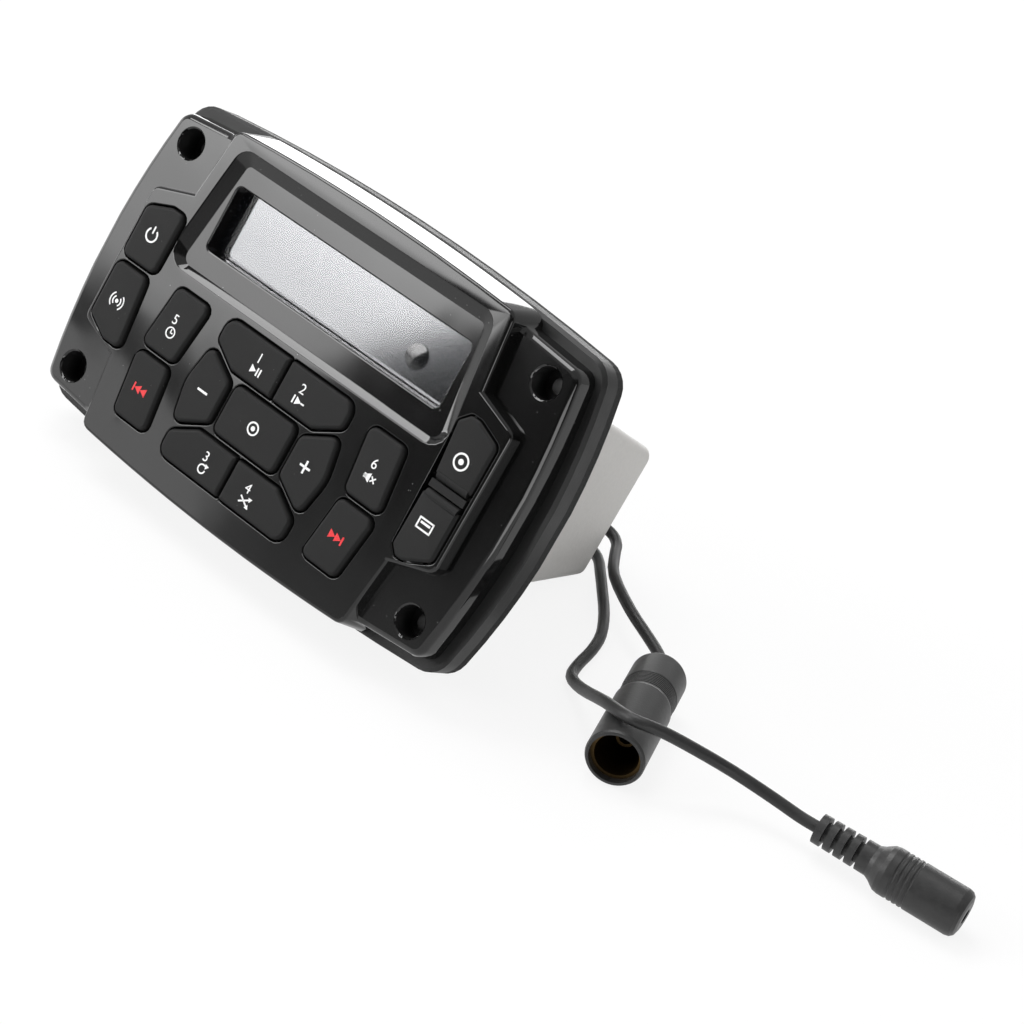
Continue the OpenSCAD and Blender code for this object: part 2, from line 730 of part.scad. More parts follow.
// Rubber key: a pillowed cap, a stem through the mat and a foot that keeps it in
module rubber_key(k) {
    line = key_line(k, 0);
    color("#303032") {
        loft([
            [key_line(k, -key_bevel), key_y], [key_line(k, -key_bevel * 0.3), key_y + key_bevel * 0.4],
            [line, key_y + key_bevel], [line, cap_back]
        ]);
        slab(key_line(k, -stem_inset), cap_back - eps, foot_y + eps);
        slab(key_line(k, -foot_inset), foot_y, foot_y + foot_t);
    }
}

// Strip that holds both covers
module cover_anchor() {
    inset = 1.2;
    color("#2a2a2c") slab(
        [
            [ear_in + inset, strip_foot + play], [ear_out - 0.3, strip_foot + play],
            [ear_out - 0.3, strip_top - play], [ear_in + inset, strip_top - play]
        ],
        cover_y + 0.8, pocket_y
    );
}

// Cover: a bevelled plate with a round hinge edge along X
module cover_plate(line, x0, z) {
    bevel = 0.7;
    r = cover_t / 2 - eps;
    loft([[grown(line, -bevel), cover_y], [line, cover_y + bevel], [line, cover_y + cover_t]]);
    translate([x0, hinge_y, z]) rotate([0, 90, 0]) cylinder(h = ear_out - bevel - x0, r = r);
}

module aux_cover() {
    plug_d = aux_collar_d - 0.8;
    color("#2f2f31") {
        cover_plate(aux_line, ear_in + 2.1, aux_hinge_z);
        bar(port_x, aux_z, plug_d / 2, cover_y + cover_t - eps, port_front - play);
    }
}

module usb_cover() {
    color("#2f2f31") {
        cover_plate(usb_line, ear_in + 1.7, usb_hinge_z);
        slab(box_at(port_x, usb_z, usb_w - 2.4, usb_h - 4), cover_y + cover_t - eps, port_front + 1.2);
    }
}

module aux_jack() {
    body_w = 9;
    collar_l = 3.6;
    color("#18181a") difference() {
        union() {
            bar(port_x, aux_z, aux_collar_d / 2, port_front, port_front + collar_l);
            slab(box_at(port_x, aux_z, body_w, body_w), port_front + collar_l - eps, port_back);
        }
        bar(port_x, aux_z, aux_bore_d / 2, port_front - 1, port_back - 1);
    }
}

module usb_shell() {
    color("#c8c8c8") difference() {
        slab(box_at(port_x, usb_z, usb_w, usb_h), port_front, port_back);
        slab(grown(box_at(port_x, usb_z, usb_w, usb_h), -usb_wall), port_front - 1, port_back - usb_wall);
    }
}

module usb_tongue() {
    tongue_t = 1.6;
    tongue_h = usb_h - 2 * usb_wall - 1;
    color("#f0f0f0") slab(
        box_at(port_x + usb_w / 2 - usb_wall - tongue_t / 2 - 0.3, usb_z, tongue_t, tongue_h),
        port_front + 2.4, port_back - usb_wall
    );
}

module port_board() {
    color("#1f5a34") slab(
        box_at(port_x, (aux_z + usb_z) / 2, port_board_w, port_board_h), port_back, port_back + board_t
    );
}

// Main board, on the chassis rails
board_w = tub_rear_w - 2 * tub_wall - 2;
board_y0 = gasket_y + 4;
board_y1 = rear_y - tub_wall - 1;
board_top = board_z + board_t / 2;

module on_board(x0, x1, y0, y1, h) {
    translate([x0, y0, board_top]) cube([x1 - x0, y1 - y0, h]);
}

module main_board() {
    color("#1f5a34") translate([-board_w / 2, board_y0, board_z - board_t / 2])
        cube([board_w, board_y1 - board_y0, board_t]);
}

spreader_x = -board_w / 2 + 4;
spreader_t = 3;
spreader_y0 = board_y0 + 16;
spreader_l = 40;
spreader_h = 18;

module heat_spreader() {
    x1 = spreader_x + spreader_t;
    y1 = spreader_y0 + spreader_l;
    color("#a8abae") on_board(spreader_x, x1, spreader_y0, y1, spreader_h);
}

module amplifier_chip() {
    chip_l = 25;
    chip_h = 15;
    chip_t = 4.6;
    x0 = spreader_x + spreader_t;
    y0 = spreader_y0 + (spreader_l - chip_l) / 2;
    color("#151517") on_board(x0, x0 + chip_t, y0, y0 + chip_l, chip_h);
}

module tuner_can() {
    can_w = 20;
    can_l = 26;
    can_h = 9;
    edge = 4;
    x0 = board_w / 2 - edge - can_w;
    y0 = board_y0 + 3 * edge;
    color("#b4b7ba") on_board(x0, x0 + can_w, y0, y0 + can_l, can_h);
}

module capacitors() {
    can_d = 10;
    can_h = 14;
    pitch = 12.5;
    first_x = -14;
    row_y = board_y0 + can_h;
    color("#24304a") for (i = [0 : 2])
        translate([first_x + i * pitch, row_y, board_top]) cylinder(h = can_h, d = can_d);
}

// Flat ribbon from the keypad board to the underside of the main board
module board_ribbon() {
    ribbon_w = 22;
    ribbon_t = 0.5;
    lap = 5.5;
    y0 = keypad_board_y + board_t;
    y1 = board_y0 + 2;
    low = board_z - board_t / 2;
    foot = pad_z - 11.6;
    color("#d8d4c8") translate([-ribbon_w / 2, 0, 0]) rotate([90, 0, 90]) linear_extrude(ribbon_w) polygon([
        [y0, foot], [y0 + ribbon_t, foot], [y0 + ribbon_t, foot + lap - ribbon_t], [y1, low - ribbon_t],
        [y1 + lap, low - ribbon_t], [y1 + lap, low], [y1 - ribbon_t, low], [y0, foot + lap]
    ]);
}

socket_wall = 1.2;
socket_l = 18;
socket_floor = 4;

module harness_socket() {
    back = rear_y;
    color("#e6e4dc") difference() {
        slab(box_at(harness_x, harness_z, harness_w, harness_h), back - socket_l, back);
        slab(
            box_at(harness_x, harness_z, harness_w - 2 * socket_wall, harness_h - 2 * socket_wall),
            back - socket_l + socket_floor, back + 1
        );
    }
}

module harness_pins() {
    rows = 2;
    columns = 8;
    pitch = 3;
    row_pitch = 4;
    pin = 0.8;
    sunk = 5;
    first_x = harness_x - (columns - 1) / 2 * pitch;
    first_z = harness_z - (rows - 1) / 2 * row_pitch;
    color("#d0b060") for (i = [0 : columns - 1], j = [0 : rows - 1]) slab(
        box_at(first_x + i * pitch, first_z + j * row_pitch, pin, pin),
        rear_y - socket_l + socket_floor, rear_y - sunk
    );
}

module screw(y0, l) {
    bar(0, 0, head_d / 2, y0, y0 + head_h);
    bar(0, 0, screw_d / 2, y0 + head_h - eps, y0 + l);
}

module bezel_screws() {
    length = gasket_y - 0.2 - 1.5;
    color("#8b8e92") for (x = [-1, 1], z = [-1, 1])
        translate([x * boss_x, gasket_y - 0.2, z * boss_z]) mirror([0, 1, 0]) screw(0, length);
}

module tub_screws() {
    color("#8b8e92") for (x = [-1, 1], z = [-1, 1])
        translate([x * tub_post_x, 0, z * tub_post_z]) screw(frame_y + 0.2, frame_t + tub_post_l - 4);
}

// Leads lie on the table: routes in table coordinates, from the boots to the plugs
boot_l = 3;
boot_flange = 1.2;
jack_route = [
    [36, 47.2, 3.2], [40.5, 50.4, 2], [46, 48.4, 1.8], [51, 43.4, 1.7], [56, 38, 1.6],
    [63.5, 29.5, 1.6], [69.4, 21, 1.6], [72.8, 13, 1.6], [75.2, 4.6, 1.6], [78, -1.4, 2],
    [84.4, -6.6, 4.6], [96.5, -16.4, 12.4], [106, -21, 16], [112.6, -17.2, 15.6],
    [118.4, -10.4, 12.4], [126, -3.6, 9], [135.4, 0.6, 6.8]
];
antenna_route = [
    [40.5, 49.4, 9.65], [42.6, 51.5, 8.65], [45.9, 51.9, 7.9], [49.1, 49.6, 7.6], [52.2, 44.9, 7.8],
    [59, 35.9, 8.2], [70.8, 27.8, 8], [79.8, 23.8, 7.3], [86, 20.6, 7]
];
antenna_from = [92.2, 12.9, 7];
antenna_aim = [15.6, -37.4, 0];
jack_from = [147.3, 3.2, 5.8];
jack_aim = [36.8, 6, 0];

function at_rest(p) = [
    p[0],
    p[1] * cos(lean) + p[2] * sin(lean) + rest_y,
    -p[1] * sin(lean) + p[2] * cos(lean) + rest_z
];
function boot_tip(b, more) = at_rest([b[0], rear_y + boot_l + more, b[1]]);

// Smooth curve through the points of a route
function spline(a, b, c, d, t) =
    0.5 * (2 * b + (c - a) * t + (2 * a - 5 * b + 4 * c - d) * t * t + (3 * b - a - 3 * c + d) * t * t * t);
function smooth(p, n) = concat(
    [
        for (i = [0 : len(p) - 2], j = [0 : n - 1])
            spline(p[max(i - 1, 0)], p[i], p[i + 1], p[min(i + 2, len(p) - 1)], j / n)
    ],
    [p[len(p) - 1]]
);

// Round tube of one diameter along a route, with rings square to it
module tube(p, d) {
    sides = 8;
    n = len(p);
    rings = [
        for (i = [0 : n - 1])
            let (
                t = unit(p[min(i + 1, n - 1)] - p[max(i - 1, 0)]),
                u = unit(cross(t, [0, 0, 1])),
                v = cross(u, t)
            )
            each [
                for (k = [0 : sides - 1])
                    p[i] + d / 2 * (u * cos(360 * k / sides) + v * sin(360 * k / sides))
            ]
    ];
    polyhedron(rings, [
        [for (k = [0 : sides - 1]) k],
        for (i = [0 : n - 2], k = [0 : sides - 1])
            let (a = i * sides + k, b = i * sides + (k + 1) % sides)
                each [[a, a + sides, b + sides], [a, b + sides, b]],
        [for (k = [sides - 1 : -1 : 0]) (n - 1) * sides + k]
    ]);
}

module aimed(p, aim) {
    translate(p) rotate([0, acos(aim[2] / norm(aim)), atan2(aim[1], aim[0])]) children();
}

module cord_boots() {
    color("#202022") for (b = [boot_jack, boot_antenna]) {
        bar(b[0], b[1], boot_hole_d / 2 + 1.4, rear_y, rear_y + boot_flange);
        bar(b[0], b[1], boot_hole_d / 2 - 0.1, rear_y - tub_wall - 0.6, rear_y + boot_l);
    }
}

// Lead from a boot to a plug: straight where it leaves the one and enters the other
straight = 0.4;
function before(p, aim, d) = p - unit(aim) * d;
function lead_line(boot, route, from, aim, run) = concat(
    [boot_tip(boot, 0)],
    smooth(
        concat(
            [boot_tip(boot, straight), boot_tip(boot, 2)], route,
            [before(from, aim, run), before(from, aim, straight)]
        ),
        3
    ),
    [from]
);

module antenna_cord() {
    color("#26272a") tube(lead_line(boot_antenna, antenna_route, antenna_from, antenna_aim, 4), cord_d);
}

module jack_cord() {
    color("#26272a") tube(lead_line(boot_jack, jack_route, jack_from, jack_aim, 5), cord_d);
}

// Profile of ring grooves from z0 on, along a barrel of radius r
function grooves(r, z0, count, pitch, depth) = [
    for (i = [0 : count - 1])
        let (z = z0 + i * pitch)
            each [[r, z], [r - depth, z + pitch * 0.2], [r - depth, z + pitch * 0.4], [r, z + pitch * 0.6]]
];

// In-line antenna socket: plain cap, ringed grip and open barrel
antenna_cap_l = 10;
antenna_grip_l = 6;
antenna_wall = 1;
antenna_mouth = 24;

module antenna_socket() {
    r = antenna_d / 2;
    rings = 8;
    ring_pitch = antenna_grip_l / (rings + 1);
    seam = antenna_cap_l + antenna_grip_l;
    color("#1c1d20") aimed(antenna_from, antenna_aim) difference() {
        rotate_extrude() polygon(concat(
            [[0, 0], [r - 1.3, 0], [r - 0.5, 0.3], [r - 0.2, 1], [r - 0.2, antenna_cap_l]],
            grooves(r - 0.3, antenna_cap_l + 0.3, rings, ring_pitch, 0.15),
            [[r - 0.3, seam - 0.2], [r - 0.6, seam - 0.1], [r - 0.6, seam + 0.1]],
            [[r - 0.1, seam + 0.2], [r, seam + 0.7], [r, antenna_l - 0.7]],
            [[r - 0.3, antenna_l - 0.1], [r - 0.6, antenna_l], [0, antenna_l]]
        ));
        translate([0, 0, antenna_l - antenna_mouth]) cylinder(h = antenna_mouth + 1, r = r - antenna_wall);
    }
}

module antenna_sleeve() {
    r = antenna_d / 2 - antenna_wall;
    floor_z = antenna_l - antenna_mouth;
    color("#b08a3e") aimed(antenna_from, antenna_aim) translate([0, 0, floor_z]) difference() {
        cylinder(h = antenna_mouth - 2, r = r);
        translate([0, 0, 2]) cylinder(h = antenna_mouth, r = r - 0.8);
    }
}

module antenna_contact() {
    l = 12;
    floor_z = antenna_l - antenna_mouth + 2;
    color("#b08a3e") aimed(antenna_from, antenna_aim) translate([0, 0, floor_z]) difference() {
        cylinder(h = l, d = 4.6);
        translate([0, 0, 2]) cylinder(h = l, d = 3.2);
    }
}

relief_d = jack_d * 0.65;

module jack_relief() {
    slots = 4;
    slot = 1;
    pitch = (relief_l - 3) / slots;
    color("#1a1b1d") aimed(jack_from, jack_aim) difference() {
        cylinder(h = relief_l, d1 = relief_d - 0.4, d2 = relief_d);
        for (i = [0 : slots - 1]) translate([0, 0, 2 + i * pitch]) difference() {
            cylinder(h = slot, d = jack_d);
            cylinder(h = slot, d = cord_d + 2);
        }
    }
}

// Moulded jack: a rounded shoulder, four ring grooves and a rounded end with the bore
jack_bore_l = 14;

module jack_body() {
    r = jack_d / 2;
    neck = relief_d / 2;
    color("#1a1b1d") aimed(jack_from, jack_aim) difference() {
        rotate_extrude() polygon(concat(
            [[0, relief_l], [neck, relief_l], [neck + 0.5, relief_l + 1.1], [r - 0.9, relief_l + 2]],
            [[r - 0.25, relief_l + 3], [r, relief_l + 4.2]],
            grooves(r, relief_l + 6, 4, 1.3, 0.2),
            [[r, jack_l - 2], [r - 0.25, jack_l - 1], [r - 0.9, jack_l - 0.3]],
            [[r - 2, jack_l], [0, jack_l]]
        ));
        translate([0, 0, jack_l - jack_bore_l]) cylinder(h = jack_bore_l + 1, d = aux_bore_d);
    }
}

rested() front_bezel();
rested() rear_frame();
rested() gasket();
rested() chassis_tub();
rested() display_lens();
rested() lcd_panel();
rested() lcd_backlight();
rested() remote_sensor();
rested() keypad_mat();
rested() keypad_board();
for (k = KEYS) rested() rubber_key(k);
rested() cover_anchor();
rested() aux_cover();
rested() usb_cover();
rested() aux_jack();
rested() usb_shell();
rested() usb_tongue();
rested() port_board();
rested() main_board();
rested() amplifier_chip();
rested() heat_spreader();
rested() tuner_can();
rested() capacitors();
rested() board_ribbon();
rested() harness_socket();
rested() harness_pins();
rested() bezel_screws();
rested() tub_screws();
rested() cord_boots();
antenna_cord();
antenna_socket();
antenna_sleeve();
antenna_contact();
jack_cord();
jack_relief();
jack_body();
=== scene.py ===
# %% [markdown]
# # A flush-mount marine stereo in Blender
# This lesson dresses the solid model of a small boat stereo: a bowed, polished black face with a rubber
# keypad, a silver screen, two port covers, a grey chassis and two short leads. The solids already have the
# right shape and place, so most of the work is light, finish and print.

# %% Load the solid model
import json
import math

import bpy
from mathutils import Matrix, Vector

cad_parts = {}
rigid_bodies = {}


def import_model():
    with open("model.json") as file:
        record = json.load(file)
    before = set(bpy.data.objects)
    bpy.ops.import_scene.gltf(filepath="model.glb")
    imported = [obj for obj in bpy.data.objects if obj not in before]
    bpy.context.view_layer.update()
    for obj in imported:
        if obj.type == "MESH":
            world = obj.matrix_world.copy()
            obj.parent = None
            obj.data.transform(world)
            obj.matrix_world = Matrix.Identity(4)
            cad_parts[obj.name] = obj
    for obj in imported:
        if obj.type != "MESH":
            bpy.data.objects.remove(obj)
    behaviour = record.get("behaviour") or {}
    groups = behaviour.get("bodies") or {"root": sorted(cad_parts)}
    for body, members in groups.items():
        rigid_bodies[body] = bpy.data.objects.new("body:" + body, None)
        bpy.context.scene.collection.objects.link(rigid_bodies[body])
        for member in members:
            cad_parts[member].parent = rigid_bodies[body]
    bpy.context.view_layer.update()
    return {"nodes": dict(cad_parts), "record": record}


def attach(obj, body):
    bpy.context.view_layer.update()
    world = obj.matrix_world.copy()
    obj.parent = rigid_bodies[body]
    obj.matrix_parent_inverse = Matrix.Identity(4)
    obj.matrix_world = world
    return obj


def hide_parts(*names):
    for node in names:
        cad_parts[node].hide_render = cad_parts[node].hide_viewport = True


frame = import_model()
node = frame["nodes"]

# %% [markdown]
# ## Two sets of axes
# The stereo leans back on the table, on the lower edges of its gasket and chassis. Print and keys are easier
# to place on the face itself, so the next cell repeats the few sizes that fix the lean and gives a function
# from face axes (x right, y into the dash, z up the face, in millimetres) to the table's axes in metres.

# %% Face axes
MM = 0.001
FLANGE_HEIGHT = 87.6
CHASSIS_REAR_HEIGHT = 37.2
SEAT_Y = 15.4
REAR_Y = 83.5
PANEL_Y = -3.7
CENTRE_HALF_HEIGHT = 41.1
lean = math.atan((FLANGE_HEIGHT - CHASSIS_REAR_HEIGHT) / 2 / (REAR_Y - SEAT_Y))
sin_lean, cos_lean = math.sin(lean), math.cos(lean)
rest_z = SEAT_Y * sin_lean + FLANGE_HEIGHT / 2 * cos_lean
nose_y = PANEL_Y * cos_lean - CENTRE_HALF_HEIGHT * sin_lean
tail_y = REAR_Y * cos_lean + CHASSIS_REAR_HEIGHT / 2 * sin_lean
rest_y = -(nose_y + tail_y) / 2


def face_point(x, y, z):
    """A point given on the face's axes in millimetres, on the table's axes in metres."""
    return Vector((x, y * cos_lean + z * sin_lean + rest_y, -y * sin_lean + z * cos_lean + rest_z)) * MM


def face_depth(point):
    """How far a point in metres lies behind the face's zero plane, in millimetres."""
    return (point - face_point(0, 0, 0)).dot(Vector((0, cos_lean, -sin_lean))) / MM


# Columns: right, up the face, out of the face
face_turn = Matrix(((1, 0, 0), (0, sin_lean, -cos_lean), (0, cos_lean, sin_lean))).to_4x4()
print("lean", round(math.degrees(lean), 2))

# %% [markdown]
# ## The camera
# The camera stands to the right of the face, above it, and is rolled. A long lens keeps the edges of the
# face nearly parallel. Its place and axes come from a pinhole fit to the face's corners and screw wells.

# %% Camera
CAMERA_PLACE = (318.05, -445.37, 309.89)
CAMERA_RIGHT = Vector((0.72407, 0.62509, 0.29153))
CAMERA_DOWN = Vector((0.51583, -0.21017, -0.83051))
LENS = 88.55
FILM_WIDTH = 36
right = CAMERA_RIGHT.normalized()
back = right.cross(-CAMERA_DOWN).normalized()
up = back.cross(right)
camera_data = bpy.data.cameras.new("view")
camera_data.lens = LENS
camera_data.sensor_width = FILM_WIDTH
camera_data.clip_start = 0.05
camera_data.clip_end = 20
camera = bpy.data.objects.new("view", camera_data)
bpy.context.scene.collection.objects.link(camera)
turn = Matrix((right, up, back)).transposed().to_4x4()
camera.matrix_world = Matrix.Translation(Vector(CAMERA_PLACE) * MM) @ turn
bpy.context.scene.camera = camera
print("camera looks along", [round(v, 3) for v in -back])

# %% [markdown]
# ## Finishes as expressions
# A finish is a Principled shader with a few patterns before it. One small class wraps a socket, so that sums
# and products of patterns read as ordinary expressions.

# %% Wires


class Wire:
    """An output socket that can be added, multiplied and compared."""

    def __init__(self, graph, socket):
        self.graph = graph
        self.socket = socket

    def maths(self, operation, first, second):
        made = self.graph.add("ShaderNodeMath", {"operation": operation}, {0: first, 1: second})
        return self.graph.wire(made, 0)

    def __add__(self, other):
        return self.maths("ADD", self, other)

    def __radd__(self, other):
        return self.maths("ADD", other, self)

    def __sub__(self, other):
        return self.maths("SUBTRACT", self, other)

    def __rsub__(self, other):
        return self.maths("SUBTRACT", other, self)

    def __mul__(self, other):
        return self.maths("MULTIPLY", self, other)

    def __rmul__(self, other):
        return self.maths("MULTIPLY", other, self)

    def __lt__(self, other):
        return self.maths("LESS_THAN", self, other)

    def __gt__(self, other):
        return self.maths("GREATER_THAN", self, other)


print("wires ready")

# %% [markdown]
# A graph is a node tree. One method adds every node, sets it up and joins its inputs; the others are the few
# patterns that the finishes share. A finish is a graph with a Principled shader at its end.

# %% Graphs and finishes


class Graph:
    """A node tree, with one way to add a node and a few patterns."""

    def __init__(self, tree):
        self.tree = tree
        self.place = None

    def add(self, kind, settings=None, sockets=None):
        made = self.tree.nodes.new(kind)
        for name, value in (settings or {}).items():
            setattr(made, name, value)
        for key, value in (sockets or {}).items():
            self.join(made.inputs[key], value)
        return made

    def wire(self, made, key):
        return Wire(self, made.outputs[key])

    def join(self, socket, value):
        if isinstance(value, Wire):
            self.tree.links.new(value.socket, socket)
        else:
            socket.default_value = value

    def coordinates(self):
        if self.place is None:
            self.place = self.wire(self.add("ShaderNodeTexCoord"), "Object")
        return self.place

    def noise(self, scale, detail):
        made = self.add(
            "ShaderNodeTexNoise", None, {"Vector": self.coordinates(), "Scale": scale, "Detail": detail}
        )
        return self.wire(made, 0)

    def cells(self, scale):
        made = self.add("ShaderNodeTexVoronoi", None, {"Vector": self.coordinates(), "Scale": scale})
        return self.wire(made, "Distance")

    def soften(self, value, low, high):
        made = self.add(
            "ShaderNodeMapRange", {"interpolation_type": "SMOOTHSTEP"},
            {"Value": value, "From Min": low, "From Max": high},
        )
        return self.wire(made, 0)

    def blend(self, factor, first, second):
        made = self.add("ShaderNodeMix", {"data_type": "RGBA"}, {0: factor, 6: first, 7: second})
        return self.wire(made, 2)


class Finish(Graph):
    """A material with a Principled shader, whose constants are set on its own sockets."""

    def __init__(self, name, **constants):
        self.material = bpy.data.materials.new(name)
        self.material.use_nodes = True
        super().__init__(self.material.node_tree)
        self.shader = self.tree.nodes["Principled BSDF"]
        for socket, value in constants.items():
            self.shader.inputs[socket.replace("_", " ")].default_value = value

    def drive(self, socket, value):
        self.join(self.shader.inputs[socket], value)

    def relief(self, height, distance, strength):
        sockets = {"Height": height, "Distance": distance, "Strength": strength}
        self.drive("Normal", self.wire(self.add("ShaderNodeBump", None, sockets), 0))


def grey(value):
    return (value, value, value, 1)


print("finish helpers ready")

# %% [markdown]
# ## The leads come first
# Two thin leads leave rubber boots in the back of the chassis and end in moulded sockets on the table, and the
# longer one crosses over the other's socket. A curve with a round bevel is the natural way to make a lead: its
# own line is the lead's middle. The routes are those of the solids, and a smooth spline goes through every
# point. At both ends a lead keeps to the line of its boot or socket for a short run.

# %% Lead routes
LEAD_DIAMETER = 2.9
BOOT_LENGTH = 3
BOOT_RUN = 2
STRAIGHT = 0.4
ROUTE_STEPS = 3
JACK_BOOT = (34, -11.7)
ANTENNA_BOOT = (40, -5.3)
JACK_ROUTE = [
    (36, 47.2, 3.2), (40.5, 50.4, 2), (46, 48.4, 1.8), (51, 43.4, 1.7), (56, 38, 1.6),
    (63.5, 29.5, 1.6), (69.4, 21, 1.6), (72.8, 13, 1.6), (75.2, 4.6, 1.6), (78, -1.4, 2),
    (84.4, -6.6, 4.6), (96.5, -16.4, 12.4), (106, -21, 16), (112.6, -17.2, 15.6),
    (118.4, -10.4, 12.4), (126, -3.6, 9), (135.4, 0.6, 6.8),
]
ANTENNA_ROUTE = [
    (40.5, 49.4, 9.65), (42.6, 51.5, 8.65), (45.9, 51.9, 7.9), (49.1, 49.6, 7.6), (52.2, 44.9, 7.8),
    (59, 35.9, 8.2), (70.8, 27.8, 8), (79.8, 23.8, 7.3), (86, 20.6, 7),
]
ANTENNA_SOCKET_REAR = Vector((92.2, 12.9, 7))
ANTENNA_AIM = Vector((15.6, -37.4, 0)).normalized()
ANTENNA_RUN = 4
JACK_REAR = Vector((147.3, 3.2, 5.8))
JACK_AIM = Vector((36.8, 6, 0)).normalized()
JACK_RUN = 5


def boot_end(boot, beyond):
    """A point on a boot's own line, so many millimetres beyond its end."""
    return face_point(boot[0], REAR_Y + BOOT_LENGTH + beyond, boot[1]) / MM


def spline_point(a, b, c, d, t):
    """A point from b (t = 0) to c (t = 1) on the smooth line through a, b, c and d."""
    square = 2 * a - 5 * b + 4 * c - d
    cube = 3 * b - a - 3 * c + d
    return 0.5 * (2 * b + (c - a) * t + square * t ** 2 + cube * t ** 3)


def smooth_route(points, steps):
    """The points of a route, with more between them on a smooth line."""
    route = []
    last = len(points) - 1
    for i in range(last):
        a, b = points[max(i - 1, 0)], points[i]
        c, d = points[i + 1], points[min(i + 2, last)]
        route += [spline_point(a, b, c, d, j / steps) for j in range(steps)]
    return route + [points[last]]


def lead(name, boot, route, end, aim, run):
    """A round lead through its route: the curve, where it leaves its boot, and its length in metres."""
    through = [boot_end(boot, STRAIGHT), boot_end(boot, BOOT_RUN)] + [Vector(p) for p in route]
    through += [end - aim * run, end - aim * STRAIGHT]
    line = [p * MM for p in [boot_end(boot, 0)] + smooth_route(through, ROUTE_STEPS) + [end]]
    curve = bpy.data.curves.new(name, "CURVE")
    curve.dimensions = "3D"
    curve.bevel_depth = LEAD_DIAMETER / 2 * MM
    curve.bevel_resolution = 5
    curve.use_fill_caps = True
    spline = curve.splines.new("POLY")
    spline.points.add(len(line) - 1)
    for point, place in zip(spline.points, line):
        point.co = (*place, 1)
    spline.use_smooth = True
    made = bpy.data.objects.new(name, curve)
    bpy.context.scene.collection.objects.link(made)
    length = sum((b - a).length for a, b in zip(line, line[1:]))
    print(name, "length", round(length, 4), "points", len(line))
    return made, line[0], length


print("route points", len(ANTENNA_ROUTE), "and", len(JACK_ROUTE))

# %% [markdown]
# The sheath is soft dark plastic: nearly matt, a little lighter where it is scuffed, with a fine skin.

# %% Leads
sheath = Finish("lead_sheath", Roughness=0.5, Specular_IOR_Level=0.4)
scuff = sheath.noise(260, 4)
sheath.drive("Base Color", sheath.blend(scuff, grey(0.011), grey(0.023)))
sheath.drive("Roughness", 0.36 + scuff * 0.2)
sheath.relief(sheath.noise(2400, 2), 0.00004, 0.5)

antenna_lead, antenna_exit, antenna_length = lead(
    "antenna_lead", ANTENNA_BOOT, ANTENNA_ROUTE, ANTENNA_SOCKET_REAR, ANTENNA_AIM, ANTENNA_RUN
)
jack_lead, jack_exit, jack_length = lead("jack_lead", JACK_BOOT, JACK_ROUTE, JACK_REAR, JACK_AIM, JACK_RUN)
for piece, solid in ((antenna_lead, "antenna_cord"), (jack_lead, "jack_cord")):
    piece.data.materials.append(sheath.material)
    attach(piece, "stereo")
    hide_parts(solid)

# %% [markdown]
# ## The studio
# The floor is white. It shows as nearly white to the camera and to polished surfaces, and keeps a faint
# shadow by letting a part of its shaded colour through.

# %% Floor
FLOOR_SIZE = 12
FLOOR_DROP = 0.0002
GLOW_SHARE = 0.86
bpy.ops.object.select_all(action="DESELECT")
bpy.ops.mesh.primitive_plane_add(size=FLOOR_SIZE, location=(0, 0, -FLOOR_DROP))
floor = bpy.context.object
floor.name = "studio_floor"
paper = Finish("white_paper", Roughness=0.9, Specular_IOR_Level=0.0, Base_Color=grey(0.86))
rays = paper.add("ShaderNodeLightPath")
plain = (
    paper.wire(rays, "Is Camera Ray")
    + paper.wire(rays, "Is Glossy Ray")
    + paper.wire(rays, "Is Transmission Ray")
)
glow = paper.add("ShaderNodeEmission", None, {"Color": grey(1), "Strength": 1.0})
mixed = paper.add("ShaderNodeMixShader", None, {0: plain * GLOW_SHARE})
paper.tree.links.new(paper.shader.outputs[0], mixed.inputs[1])
paper.tree.links.new(glow.outputs[0], mixed.inputs[2])
paper.tree.links.new(mixed.outputs[0], paper.tree.nodes["Material Output"].inputs["Surface"])
floor.data.materials.append(paper.material)
print("floor", FLOOR_SIZE, "m")

# %% [markdown]
# The surroundings are a white room. What the polished face and the screen mirror is painted on it: a bright
# wall on the left, brighter towards its top and with a dark gap low down, and next to it a dark corner in
# front and to the right. The edge between the two leans. The height of a direction is the sine of its angle
# above the table.

# %% Room
ROOM_LIGHT = 0.62
world = bpy.data.worlds.new("white_room")
bpy.context.scene.world = world
world.use_nodes = True
room = Graph(world.node_tree)
direction = room.wire(room.add("ShaderNodeTexCoord"), "Generated")
parts = room.add("ShaderNodeSeparateXYZ", None, {0: direction})
east, north, height = (room.wire(parts, i) for i in range(3))


def past(angle):
    """How far a direction lies past an angle from the left towards the front, as a sine."""
    return east * math.sin(angle) - north * math.cos(angle)


def between(foot, top):
    """One between two heights, each a pair of where its change begins and ends, and nothing outside."""
    return room.soften(height, *foot) * (1.0 - room.soften(height, *top))


print("room light", ROOM_LIGHT)

# %% [markdown]
# The wall ends at the leaning edge and the corner starts there. Both fade out above, the wall sooner.

# %% Wall and corner
WALL_START = math.radians(26)
WALL_EDGE = math.radians(58.3)
EDGE_HEIGHT, EDGE_SLOPE = 0.155, 0.7
EDGE_FOOT = 0.13
WALL_TOP = (0.42, 0.6)
DARK_FOOT, DARK_TOP = (0.02, 0.14), (0.6, 0.85)
GAP_FOOT, GAP_TOP = (0.074, 0.079), (0.093, 0.101)
DARKNESS = 0.9
FOOT_LIGHT = 1.5
LOWER_RISE, LOWER_GAIN = (0.06, 0.13), 2.8
UPPER_RISE, UPPER_GAIN = (0.14, 0.19), 2.2

